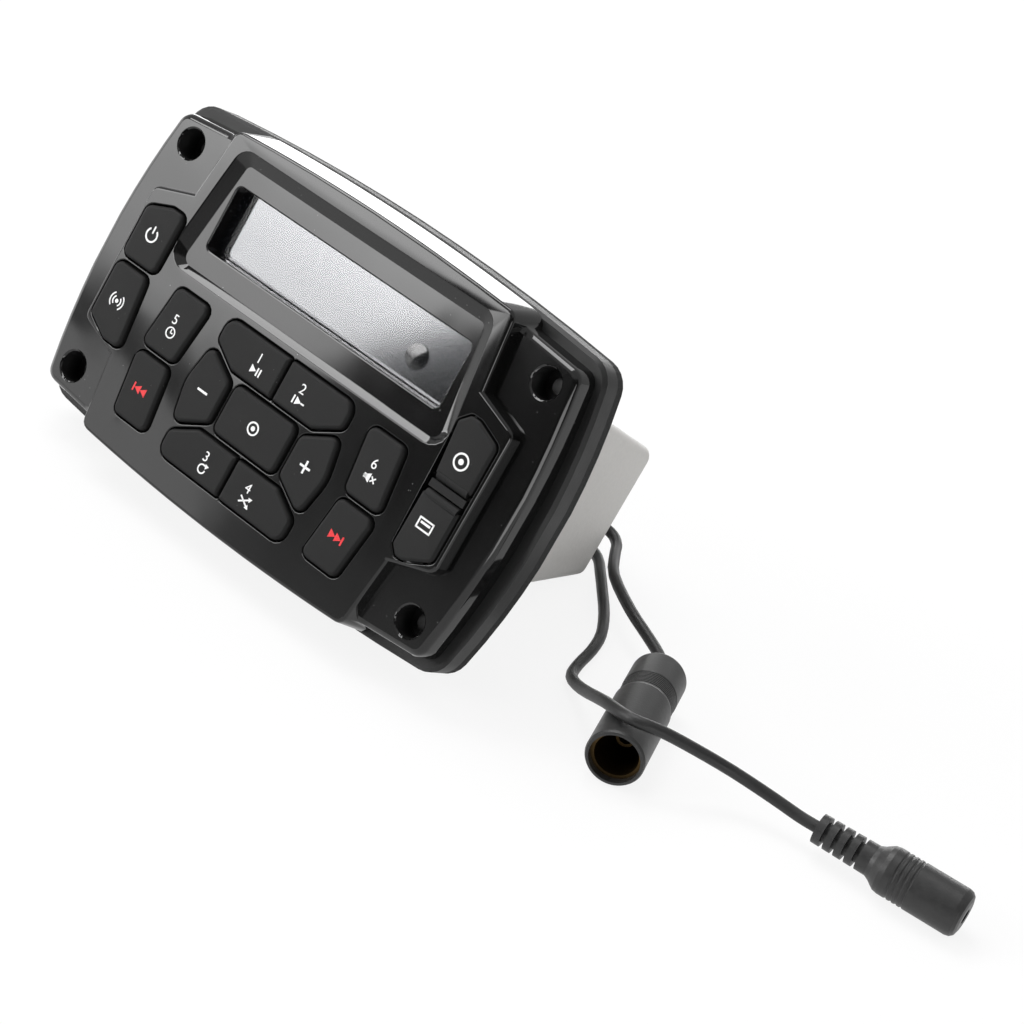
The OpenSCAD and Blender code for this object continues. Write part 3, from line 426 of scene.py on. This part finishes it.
# Below its foot the edge stands upright
edge = past(WALL_EDGE) - (height.maths("MAXIMUM", height, EDGE_FOOT) - EDGE_HEIGHT) * EDGE_SLOPE
dark = room.soften(edge, -0.004, 0.012) * room.soften(0.0 - north, -0.2, 0.1) * between(DARK_FOOT, DARK_TOP)
wall = (1.0 - room.soften(edge, -0.012, 0.005)) * room.soften(past(WALL_START), -0.05, 0.05)
wall = wall * (1.0 - room.soften(height, *WALL_TOP))
wall_light = FOOT_LIGHT + room.soften(height, *LOWER_RISE) * LOWER_GAIN
wall_light = wall_light + room.soften(height, *UPPER_RISE) * UPPER_GAIN
gap = between(GAP_FOOT, GAP_TOP) * wall
room_light = ROOM_LIGHT * (1.0 - dark * DARKNESS) + wall * wall_light
background = world.node_tree.nodes["Background"]
room.join(background.inputs["Color"], grey(1))
room.join(background.inputs["Strength"], room_light * (1.0 - gap * DARKNESS))
print("wall light", FOOT_LIGHT, "to", FOOT_LIGHT + LOWER_GAIN + UPPER_GAIN)

# %% [markdown]
# Five soft lamps serve the edges: a low narrow one for those that turn away to the left, one for the lips of
# the key openings, one above for the edges that face up, one on the right for the rims there, and one behind
# for the upper wall of the face. Each is given by its direction, by the size of its opening and by how
# bright the opening looks.

# %% Lamps
LAMP_DISTANCE = 1.6
AIM = Vector((0, 0, 0.06))


def soft_lamp(name, left_to_front, elevation, width, height, brightness):
    """A lamp at two angles in degrees, from the left to the front and up, with its opening's size in metres."""
    around, rise = math.radians(left_to_front), math.radians(elevation)
    level = math.cos(rise)
    out = Vector((-math.cos(around) * level, -math.sin(around) * level, math.sin(rise)))
    data = bpy.data.lights.new(name, "AREA")
    data.shape = "RECTANGLE"
    data.size = width
    data.size_y = height
    data.energy = brightness * math.pi * width * height
    lamp = bpy.data.objects.new(name, data)
    bpy.context.scene.collection.objects.link(lamp)
    lamp.location = AIM + out * LAMP_DISTANCE
    lamp.rotation_euler = out.to_track_quat("Z", "Y").to_euler()
    print(name, [round(v, 2) for v in lamp.location], "power", round(data.energy, 2))


soft_lamp("left_strip", 18, 2.4, 0.56, 0.22, 8)
soft_lamp("lip_box", 22, 50, 0.5, 0.45, 7)
soft_lamp("top_box", -16, 62, 0.8, 0.8, 6.5)
soft_lamp("right_box", 147, 6, 0.7, 0.6, 3.6)
soft_lamp("back_box", -62.5, 3.5, 1.2, 0.36, 4.9)
bpy.context.scene.view_settings.view_transform = "Standard"

# %% [markdown]
# ## Polished black
# The face is moulded in black plastic and polished like a piano. Its colour is almost nothing: what the eye
# sees are the reflections, a few dust specks and the rounded edges. A moulding is never quite flat, so a
# very shallow, wide bump makes the mirrored edges waver. The frame behind it is matt, and the gasket is a
# foam with fine pores.

# %% Face
piano = Finish("piano_black", Roughness=0.06, Specular_IOR_Level=0.5)
dust = (piano.cells(520) < 0.045) * (piano.noise(90, 2) > 0.56)
piano.drive("Base Color", piano.blend(dust, grey(0.005), grey(0.3)))
piano.drive("Roughness", 0.03 + piano.noise(60, 3) * 0.06)
piano.relief(piano.noise(46, 1), 0.0003, 0.35)

satin = Finish("satin_black", Roughness=0.5, Specular_IOR_Level=0.35)
haze = satin.noise(120, 4)
satin.drive("Base Color", satin.blend(haze, grey(0.007), grey(0.014)))
satin.drive("Roughness", 0.4 + haze * 0.2)
satin.relief(satin.noise(900, 3), 0.00005, 0.5)

foam = Finish("gasket_foam", Roughness=0.85, Specular_IOR_Level=0.25)
pores = foam.noise(1500, 4)
foam.drive("Base Color", foam.blend(pores, grey(0.012), grey(0.035)))
foam.relief(pores, 0.00012, 0.8)
print("front finishes:", piano.material.name, satin.material.name, foam.material.name)

# %% [markdown]
# ## Chassis paint
# The chassis is a sheet-metal box under a warm grey paint with a fine grain. Speckles shift the shade
# slightly, and the grain is a shallow bump.

# %% Chassis
paint = Finish("chassis_paint", Roughness=0.6, Specular_IOR_Level=0.35)
grain = paint.noise(1100, 4)
cloud = paint.noise(26, 3)
paint.drive(
    "Base Color", paint.blend(grain * 0.45 + cloud * 0.35, (0.53, 0.52, 0.503, 1), (0.71, 0.698, 0.68, 1))
)
paint.drive("Roughness", 0.5 + grain * 0.2)
paint.relief(grain, 0.00008, 0.6)
print("chassis finish:", paint.material.name)

# %% [markdown]
# ## Rubber keys and covers
# Keys and port covers are silicone rubber: dark, matt and slightly dusty, with soft edges.

# %% Rubber
rubber = Finish("key_rubber", Roughness=0.6, Specular_IOR_Level=0.2)
bloom = rubber.noise(340, 5)
lint = (rubber.cells(900) < 0.05) * (rubber.noise(150, 2) > 0.6)
rubber.drive("Base Color", rubber.blend(lint, rubber.blend(bloom, grey(0.006), grey(0.012)), grey(0.2)))
rubber.drive("Roughness", 0.5 + bloom * 0.2)
rubber.relief(rubber.noise(3000, 3), 0.00003, 0.6)
print("key finish:", rubber.material.name)

# %% [markdown]
# ## The screen
# The lens is a thin clear sheet. Behind it the switched-off screen is a dull mirror: it takes on the bright
# wall on the left and the dark corner on the right. The remote sensor is a small smoky mirror.

# %% Screen finishes
lens = Finish(
    "clear_lens", Roughness=0.03, Specular_IOR_Level=0.5, Alpha=0.14, Base_Color=(0.03, 0.032, 0.036, 1)
)
silver_screen = Finish("silver_screen", Metallic=1.0, Roughness=0.2)
sheen = silver_screen.noise(18, 2)
silver_screen.drive(
    "Base Color", silver_screen.blend(sheen, (0.21, 0.212, 0.218, 1), (0.24, 0.242, 0.249, 1))
)
silver_screen.drive("Roughness", 0.06 + sheen * 0.03)
smoke = Finish("smoky_disc", Roughness=0.04, Metallic=1.0)
smoke.drive("Base Color", smoke.blend(smoke.noise(200, 2), grey(0.1), grey(0.125)))
smoke.drive("Roughness", 0.07 + smoke.noise(90, 2) * 0.03)
print("screen finishes:", lens.material.name, silver_screen.material.name, smoke.material.name)

# %% [markdown]
# The lens is a flat plane, pulled out to a thin sheet and laid in the window.

# %% Lens sheet
LENS_Y = 1.7
LENS_WIDTH, LENS_HEIGHT, LENS_Z = 80.2, 20.5, 20.75
LENS_SHEET = 0.3
bpy.ops.object.select_all(action="DESELECT")
bpy.ops.mesh.primitive_plane_add(size=MM)
sheet = bpy.context.object
sheet.name = "lens_sheet"
sheet.scale = (LENS_WIDTH, LENS_HEIGHT, 1)
bpy.ops.object.transform_apply(location=True, rotation=True, scale=True)
bpy.ops.object.mode_set(mode="EDIT")
bpy.ops.mesh.select_all(action="SELECT")
bpy.ops.mesh.extrude_region_move(TRANSFORM_OT_translate={"value": (0, 0, LENS_SHEET * MM)})
bpy.ops.mesh.select_all(action="SELECT")
bpy.ops.mesh.normals_make_consistent(inside=False)
bpy.ops.object.mode_set(mode="OBJECT")
sheet.matrix_world = Matrix.Translation(face_point(0, LENS_Y + LENS_SHEET, LENS_Z)) @ face_turn
bpy.ops.object.transform_apply(location=True, rotation=True, scale=True)
sheet.data.materials.append(lens.material)
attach(sheet, "stereo")
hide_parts("display_lens")
print("lens sheet", LENS_WIDTH, "x", LENS_HEIGHT)

# %% [markdown]
# The remote sensor is a flat disc behind the lens, with a softened rim.

# %% Remote sensor
SENSOR_X, SENSOR_Z = 24.3, 18.85
SENSOR_RADIUS, SENSOR_HEIGHT, SENSOR_EDGE = 3.1, 0.2, 0.06
SENSOR_Y = 2.75
bpy.ops.object.select_all(action="DESELECT")
bpy.ops.mesh.primitive_cylinder_add(vertices=64, radius=SENSOR_RADIUS * MM, depth=SENSOR_HEIGHT * MM)
sensor = bpy.context.object
sensor.name = "sensor_disc"
rim = sensor.modifiers.new("rim", "BEVEL")
rim.width = SENSOR_EDGE * MM
rim.segments = 4
rim.limit_method = "ANGLE"
bpy.ops.object.modifier_apply(modifier=rim.name)
bpy.ops.object.shade_smooth_by_angle(angle=math.radians(30))
sensor.matrix_world = Matrix.Translation(face_point(SENSOR_X, SENSOR_Y, SENSOR_Z)) @ face_turn
bpy.ops.object.transform_apply(location=True, rotation=True, scale=True)
sensor.data.materials.append(smoke.material)
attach(sensor, "stereo")
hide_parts("remote_sensor")
print("sensor", SENSOR_RADIUS * 2, "mm across")

# %% [markdown]
# ## Plugs, metal and boards
# The two lead ends are moulded in harder plastic with a fine skin. Inside are the plain finishes of any
# radio: plated steel, brass, aluminium, white connector plastic and green laminate.

# %% Small finishes
moulded = Finish("moulded_plug", Roughness=0.45, Specular_IOR_Level=0.45)
skin = moulded.noise(700, 4)
moulded.drive("Base Color", moulded.blend(skin, grey(0.013), grey(0.026)))
moulded.drive("Roughness", 0.32 + skin * 0.2)
moulded.relief(moulded.noise(2600, 2), 0.00004, 0.6)


def metal(name, dark_shade, light_shade, rough):
    made = Finish(name, Metallic=1.0, Roughness=rough)
    wear = made.noise(420, 4)
    made.drive("Base Color", made.blend(wear, dark_shade, light_shade))
    made.drive("Roughness", rough - 0.06 + wear * 0.16)
    return made


def plain_plastic(name, dark_shade, light_shade, rough):
    made = Finish(name, Roughness=rough)
    mottle = made.noise(240, 4)
    made.drive("Base Color", made.blend(mottle, dark_shade, light_shade))
    made.drive("Roughness", rough - 0.08 + mottle * 0.16)
    made.relief(mottle, 0.00003, 0.4)
    return made


# The brass is given a very dark colour, about a tenth as bright as clean brass.
brass = metal("dark_brass", (0.05, 0.032, 0.014, 1), (0.1, 0.066, 0.028, 1), 0.45)
steel = metal("plated_steel", grey(0.5), grey(0.62), 0.28)
aluminium = metal("plain_aluminium", grey(0.5), grey(0.6), 0.38)
white_plastic = plain_plastic("connector_white", (0.6, 0.59, 0.55, 1), (0.72, 0.71, 0.67, 1), 0.5)
black_plastic = plain_plastic("socket_black", grey(0.01), grey(0.022), 0.4)
laminate = plain_plastic("green_laminate", (0.012, 0.09, 0.035, 1), (0.02, 0.13, 0.05, 1), 0.35)
cable = plain_plastic("flat_cable", (0.55, 0.52, 0.45, 1), (0.66, 0.63, 0.56, 1), 0.5)
print("finishes made:", len(bpy.data.materials))

# %% [markdown]
# Each solid takes its finish here, apart from the lens and the leads, which have pieces of their own. Keys,
# covers and what joins them are all of the same rubber.

# %% Finishes on the solids
keys_and_covers = [name for name in node if name.startswith("key_") or name.endswith("_cover")]
FINISH_OF = {
    piano: ["front_bezel"],
    satin: ["rear_frame"],
    foam: ["gasket"],
    paint: ["chassis_tub"],
    rubber: keys_and_covers + ["keypad_mat", "cover_anchor"],
    silver_screen: ["lcd_panel"],
    smoke: ["remote_sensor"],
    sheath: ["cord_boots"],
    moulded: ["antenna_socket", "jack_relief", "jack_body"],
    brass: ["antenna_sleeve", "antenna_contact", "harness_pins"],
    steel: ["usb_shell", "tuner_can", "bezel_screws", "tub_screws"],
    aluminium: ["heat_spreader", "capacitors"],
    white_plastic: ["usb_tongue", "harness_socket", "lcd_backlight"],
    black_plastic: ["aux_jack", "amplifier_chip"],
    laminate: ["keypad_board", "port_board", "main_board"],
    cable: ["board_ribbon"],
}
for finish, names in FINISH_OF.items():
    for name in names:
        node[name].data.materials.clear()
        node[name].data.materials.append(finish.material)
print("finishes set on", sum(len(names) for names in FINISH_OF.values()), "of", len(node), "solids")

# %% [markdown]
# ## Smooth light on moulded edges
# The solids round their edges in a few flat steps. A copy of each visible moulding is welded, its flat
# triangles are joined into large faces, and its normals are weighted by face area: large faces stay flat and
# the steps between them shade as one soft curve. On polished plastic that gives the thin bright line along
# an edge. Edges that lie in the floor of the window's surround or in the wings' plane stay sharp.

# %% Smooth mouldings
SURROUND_FLOOR_Y = -1.9
WING_Y = 0
CREASE_MATCH = 0.01
WELD_DISTANCE = 0.000004
FLAT_ANGLE = math.radians(0.5)
SMOOTH_ANGLE = math.radians(50)
SLOT_OF = {"front_bezel": "bezel_gloss", "rear_frame": "frame_black", "chassis_tub": "chassis_grey"}


def smooth_copy(name, solid):
    """A welded copy of a solid, with weighted normals and with creases in the two planes."""
    bpy.ops.object.select_all(action="DESELECT")
    node[solid].select_set(True)
    bpy.context.view_layer.objects.active = node[solid]
    bpy.ops.object.duplicate()
    made = bpy.context.object
    made.name = name
    bpy.ops.object.parent_clear(type="CLEAR_KEEP_TRANSFORM")
    bpy.ops.object.transform_apply(location=True, rotation=True, scale=True)
    bpy.ops.object.mode_set(mode="EDIT")
    bpy.ops.mesh.select_all(action="SELECT")
    bpy.ops.mesh.remove_doubles(threshold=WELD_DISTANCE)
    bpy.ops.mesh.dissolve_limited(angle_limit=FLAT_ANGLE)
    bpy.ops.object.mode_set(mode="OBJECT")
    bpy.ops.object.shade_smooth_by_angle(angle=SMOOTH_ANGLE)
    for side in made.data.edges:
        depths = [face_depth(made.data.vertices[i].co) for i in side.vertices]
        for crease in (SURROUND_FLOOR_Y, WING_Y):
            if all(abs(depth - crease) < CREASE_MATCH for depth in depths):
                side.use_edge_sharp = True
    level = made.modifiers.new("level", "WEIGHTED_NORMAL")
    level.weight = 100
    level.keep_sharp = True
    bpy.ops.object.modifier_apply(modifier=level.name)
    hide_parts(solid)
    return made


for body, held in frame["record"]["behaviour"]["bodies"].items():
    for solid in held:
        if solid in SLOT_OF or solid in keys_and_covers:
            moulding = smooth_copy("smooth_" + solid, solid)
            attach(moulding, body)
            print(moulding.name, "faces", len(moulding.data.polygons))

# %% [markdown]
# The screw wells are deep and dark: their walls are left rough by the mould, so they take a matt black.

# %% Screw wells
WELL_X, WELL_Z, WELL_RADIUS, WELL_LIP = 58, 30.75, 3.9, 0.3
face_copy = bpy.data.objects["smooth_front_bezel"]
face_copy.data.materials.append(satin.material)
in_well = 0
for face in face_copy.data.polygons:
    depth = face_depth(face.center)
    for side in (-1, 1):
        for level in (-1, 1):
            offset = face.center - face_point(side * WELL_X, depth, level * WELL_Z)
            if depth > WELL_LIP and offset.length < WELL_RADIUS * MM:
                face.material_index = 1
                in_well += 1
print("faces in the wells", in_well)

# %% [markdown]
# ## Print on the keys
# Each key carries a plain number, a common symbol or both, printed in white, with two symbols in red. A symbol
# is built flat from circles and planes, as by hand, joined, given a film's thickness and laid on its key.

# %% Print finishes
PRINT_FILM = 0.05
PRINT_SINK = 0.01
KEY_RISE = 1.1
COVER_RISE = 0.7
KEY_TOP = PANEL_Y - KEY_RISE
COVER_TOP = PANEL_Y - COVER_RISE


def ink(name, dark_shade, light_shade):
    made = Finish(name, Roughness=0.55)
    patch = made.noise(1800, 3)
    made.drive("Base Color", made.blend(patch, dark_shade, light_shade))
    made.drive("Roughness", 0.48 + patch * 0.14)
    return made


white_ink = ink("white_ink", grey(0.72), grey(0.88))
red_ink = ink("red_ink", (0.62, 0.012, 0.018, 1), (0.8, 0.02, 0.026, 1))
print("inks:", white_ink.material.name, red_ink.material.name)

# %% [markdown]
# A stroke is a flat shape near the origin, in millimetres across and up its key: a disc, a triangle, a bar,
# a ring or a number. Each function gives a list, so that strokes add up to a symbol.

# %% Symbol strokes
NUMBER_SIZE = 3.5
NUMBER_X, NUMBER_Z = -0.4, 1.1


def begin():
    bpy.ops.object.select_all(action="DESELECT")


def disc(x, z, radius, sides=32, turn=0.0):
    begin()
    bpy.ops.mesh.primitive_circle_add(
        vertices=sides, radius=radius * MM, fill_type="NGON",
        location=(x * MM, z * MM, 0), rotation=(0, 0, turn),
    )
    return [bpy.context.object]


def triangle(x, z, radius, pointing):
    return disc(x, z, radius, 3, pointing - math.pi / 2)


def bar(x, z, width, height, turn=0.0):
    begin()
    bpy.ops.mesh.primitive_plane_add(size=MM, location=(x * MM, z * MM, 0), rotation=(0, 0, turn))
    bpy.context.object.scale = (width, height, 1)
    return [bpy.context.object]


def ring(x, z, radius, stroke, first=0.0, last=360.0):
    """A ring, or an arc of it, from a circle whose face is inset and opened."""
    made = disc(x, z, radius, 48)[0]
    bpy.ops.object.mode_set(mode="EDIT")
    bpy.ops.mesh.select_all(action="SELECT")
    bpy.ops.mesh.inset(thickness=stroke * MM)
    bpy.ops.mesh.delete(type="FACE")
    bpy.ops.object.mode_set(mode="OBJECT")
    if last - first < 360:
        bpy.ops.object.mode_set(mode="EDIT")
        bpy.ops.mesh.select_all(action="DESELECT")
        bpy.ops.object.mode_set(mode="OBJECT")
        for face in made.data.polygons:
            angle = math.degrees(math.atan2(face.center.y, face.center.x))
            face.select = (angle - first) % 360 > last - first
        bpy.ops.object.mode_set(mode="EDIT")
        bpy.ops.mesh.delete(type="FACE")
        bpy.ops.object.mode_set(mode="OBJECT")
    return [made]


def number(value):
    begin()
    bpy.ops.object.text_add(location=(NUMBER_X * MM, NUMBER_Z * MM, 0))
    made = bpy.context.object
    made.data.body = value
    made.data.size = NUMBER_SIZE * MM
    made.data.align_x = "CENTER"
    made.data.align_y = "CENTER"
    bpy.ops.object.convert(target="MESH")
    return [bpy.context.object]


def skip(way):
    """Two triangles and a bar, for the previous track (-1) or the next one (1)."""
    pointing = 0 if way > 0 else math.pi
    return (
        triangle(-1.4 * way, 0, 1.25, pointing) + triangle(0.45 * way, 0, 1.25, pointing)
        + bar(1.95 * way, 0, 0.46, 2.15)
    )


print("strokes ready")

# %% [markdown]
# The strokes of a symbol are joined, given their thickness and turned onto the face.

# %% Laying the print


def lay_print(name, strokes, x, z, carrier, top=KEY_TOP, film=white_ink):
    """Joins the strokes, lays them on the carrier's top and lets them ride on it."""
    begin()
    for stroke in strokes:
        stroke.select_set(True)
    bpy.context.view_layer.objects.active = strokes[0]
    if len(strokes) > 1:
        bpy.ops.object.join()
    made = bpy.context.object
    made.name = name
    bpy.ops.object.transform_apply(location=True, rotation=True, scale=True)
    bpy.ops.object.mode_set(mode="EDIT")
    bpy.ops.mesh.select_all(action="SELECT")
    bpy.ops.mesh.extrude_region_move(TRANSFORM_OT_translate={"value": (0, 0, PRINT_FILM * MM)})
    bpy.ops.mesh.select_all(action="SELECT")
    bpy.ops.mesh.normals_make_consistent(inside=False)
    bpy.ops.object.mode_set(mode="OBJECT")
    made.matrix_world = Matrix.Translation(face_point(x, top - PRINT_SINK, z)) @ face_turn
    bpy.ops.object.transform_apply(location=True, rotation=True, scale=True)
    made.data.materials.clear()
    made.data.materials.append(film.material)
    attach(made, carrier)


PAIR_X, PAIR_Z, PAIR_LOW_Z = 7.2, -2.2, -28.6
SIDE_X, SIDE_Z, SIDE_LOW_Z = 33.5, -6.45, -24.2
NUMBER_PLACES = {
    "1": (-PAIR_X, PAIR_Z), "2": (PAIR_X, PAIR_Z),
    "3": (-PAIR_X, PAIR_LOW_Z), "4": (PAIR_X, PAIR_LOW_Z),
    "5": (-SIDE_X, SIDE_Z), "6": (SIDE_X, SIDE_Z),
}
for value, (x, z) in NUMBER_PLACES.items():
    lay_print("print_" + value, number(value), x, z, "key_" + value)
print("numbers laid", len(NUMBER_PLACES))

# %% [markdown]
# Below each number stands a symbol: play and pause, scan, repeat, shuffle, a clock and a silent speaker.

# %% Symbols below the numbers
LINE = 1.8
SIDE_LINE = 2.1
lay_print(
    "print_play", triangle(-0.9, 0, 1.15, 0) + bar(0.65, 0, 0.42, 2) + bar(1.5, 0, 0.42, 2),
    -PAIR_X, PAIR_Z - LINE, "key_1",
)
lay_print(
    "print_scan", bar(-1.5, 0, 0.42, 2) + triangle(-0.2, 0, 1.15, 0) + bar(1.4, 0, 1.0, 0.42),
    PAIR_X, PAIR_Z - LINE, "key_2",
)
lay_print(
    "print_repeat", ring(0, 0, 1.25, 0.36, 60, 360) + triangle(1.0, 1.0, 0.75, 2.4),
    -PAIR_X, PAIR_LOW_Z - LINE, "key_3",
)
lay_print(
    "print_shuffle",
    bar(0, 0, 3, 0.4, 0.55) + bar(0, 0, 3, 0.4, -0.55)
    + triangle(1.55, 0.95, 0.7, 0.55) + triangle(1.55, -0.95, 0.7, -0.55),
    PAIR_X, PAIR_LOW_Z - LINE, "key_4",
)
lay_print(
    "print_clock", ring(0, 0, 1.45, 0.34) + bar(0, 0.45, 0.3, 0.9) + bar(0.35, 0, 0.8, 0.3),
    -SIDE_X, SIDE_Z - SIDE_LINE, "key_5",
)
lay_print(
    "print_mute",
    bar(-1.2, 0, 0.8, 1.1) + triangle(-0.45, 0, 1.35, math.pi)
    + bar(1.2, 0, 1.8, 0.34, 0.8) + bar(1.2, 0, 1.8, 0.34, -0.8),
    SIDE_X, SIDE_Z - SIDE_LINE, "key_6",
)
print("symbols laid below the numbers")

# %% [markdown]
# The other keys and the two covers have a symbol alone: skips, minus, plus, select, power, waves, a round
# socket and a flat one.

# %% Symbols alone
VOLUME_X = 17.4
PAD_Z = -15.4
EAR_X = 51.8
POWER_Z, BAND_Z = 8, -10
JACK_Z, SLOT_Z = 6.4, -10
lay_print("print_previous", skip(-1), -SIDE_X, SIDE_LOW_Z, "key_previous", film=red_ink)
lay_print("print_next", skip(1), SIDE_X, SIDE_LOW_Z, "key_next", film=red_ink)
lay_print("print_minus", bar(0, 0, 3.2, 0.55), -VOLUME_X, PAD_Z, "key_volume_down")
lay_print("print_plus", bar(0, 0, 3.2, 0.55) + bar(0, 0, 0.55, 3.2), VOLUME_X, PAD_Z, "key_volume_up")
lay_print("print_select", ring(0, 0, 1.7, 0.42) + disc(0, 0, 0.6), 0, PAD_Z, "key_select")
lay_print(
    "print_power", ring(0, 0, 1.9, 0.45, 125, 415) + bar(0, 1.35, 0.45, 1.9), -EAR_X, POWER_Z, "key_power"
)
lay_print(
    "print_waves",
    disc(0, 0, 0.5) + ring(0, 0, 1.4, 0.36, 310, 410) + ring(0, 0, 1.4, 0.36, 130, 230)
    + ring(0, 0, 2.3, 0.36, 310, 410) + ring(0, 0, 2.3, 0.36, 130, 230),
    -EAR_X, BAND_Z, "key_band",
)
lay_print("print_jack", ring(0, 0, 2.1, 0.45) + disc(0, 0, 0.7), EAR_X, JACK_Z, "aux_cover", COVER_TOP)
lay_print(
    "print_slot",
    bar(0, 1.2, 4.4, 0.42) + bar(0, -1.2, 4.4, 0.42)
    + bar(-2, 0, 0.42, 2.6) + bar(2, 0, 0.42, 2.6) + bar(0, 0.3, 2.8, 0.55),
    EAR_X, SLOT_Z, "usb_cover", COVER_TOP,
)
print("symbols laid alone")
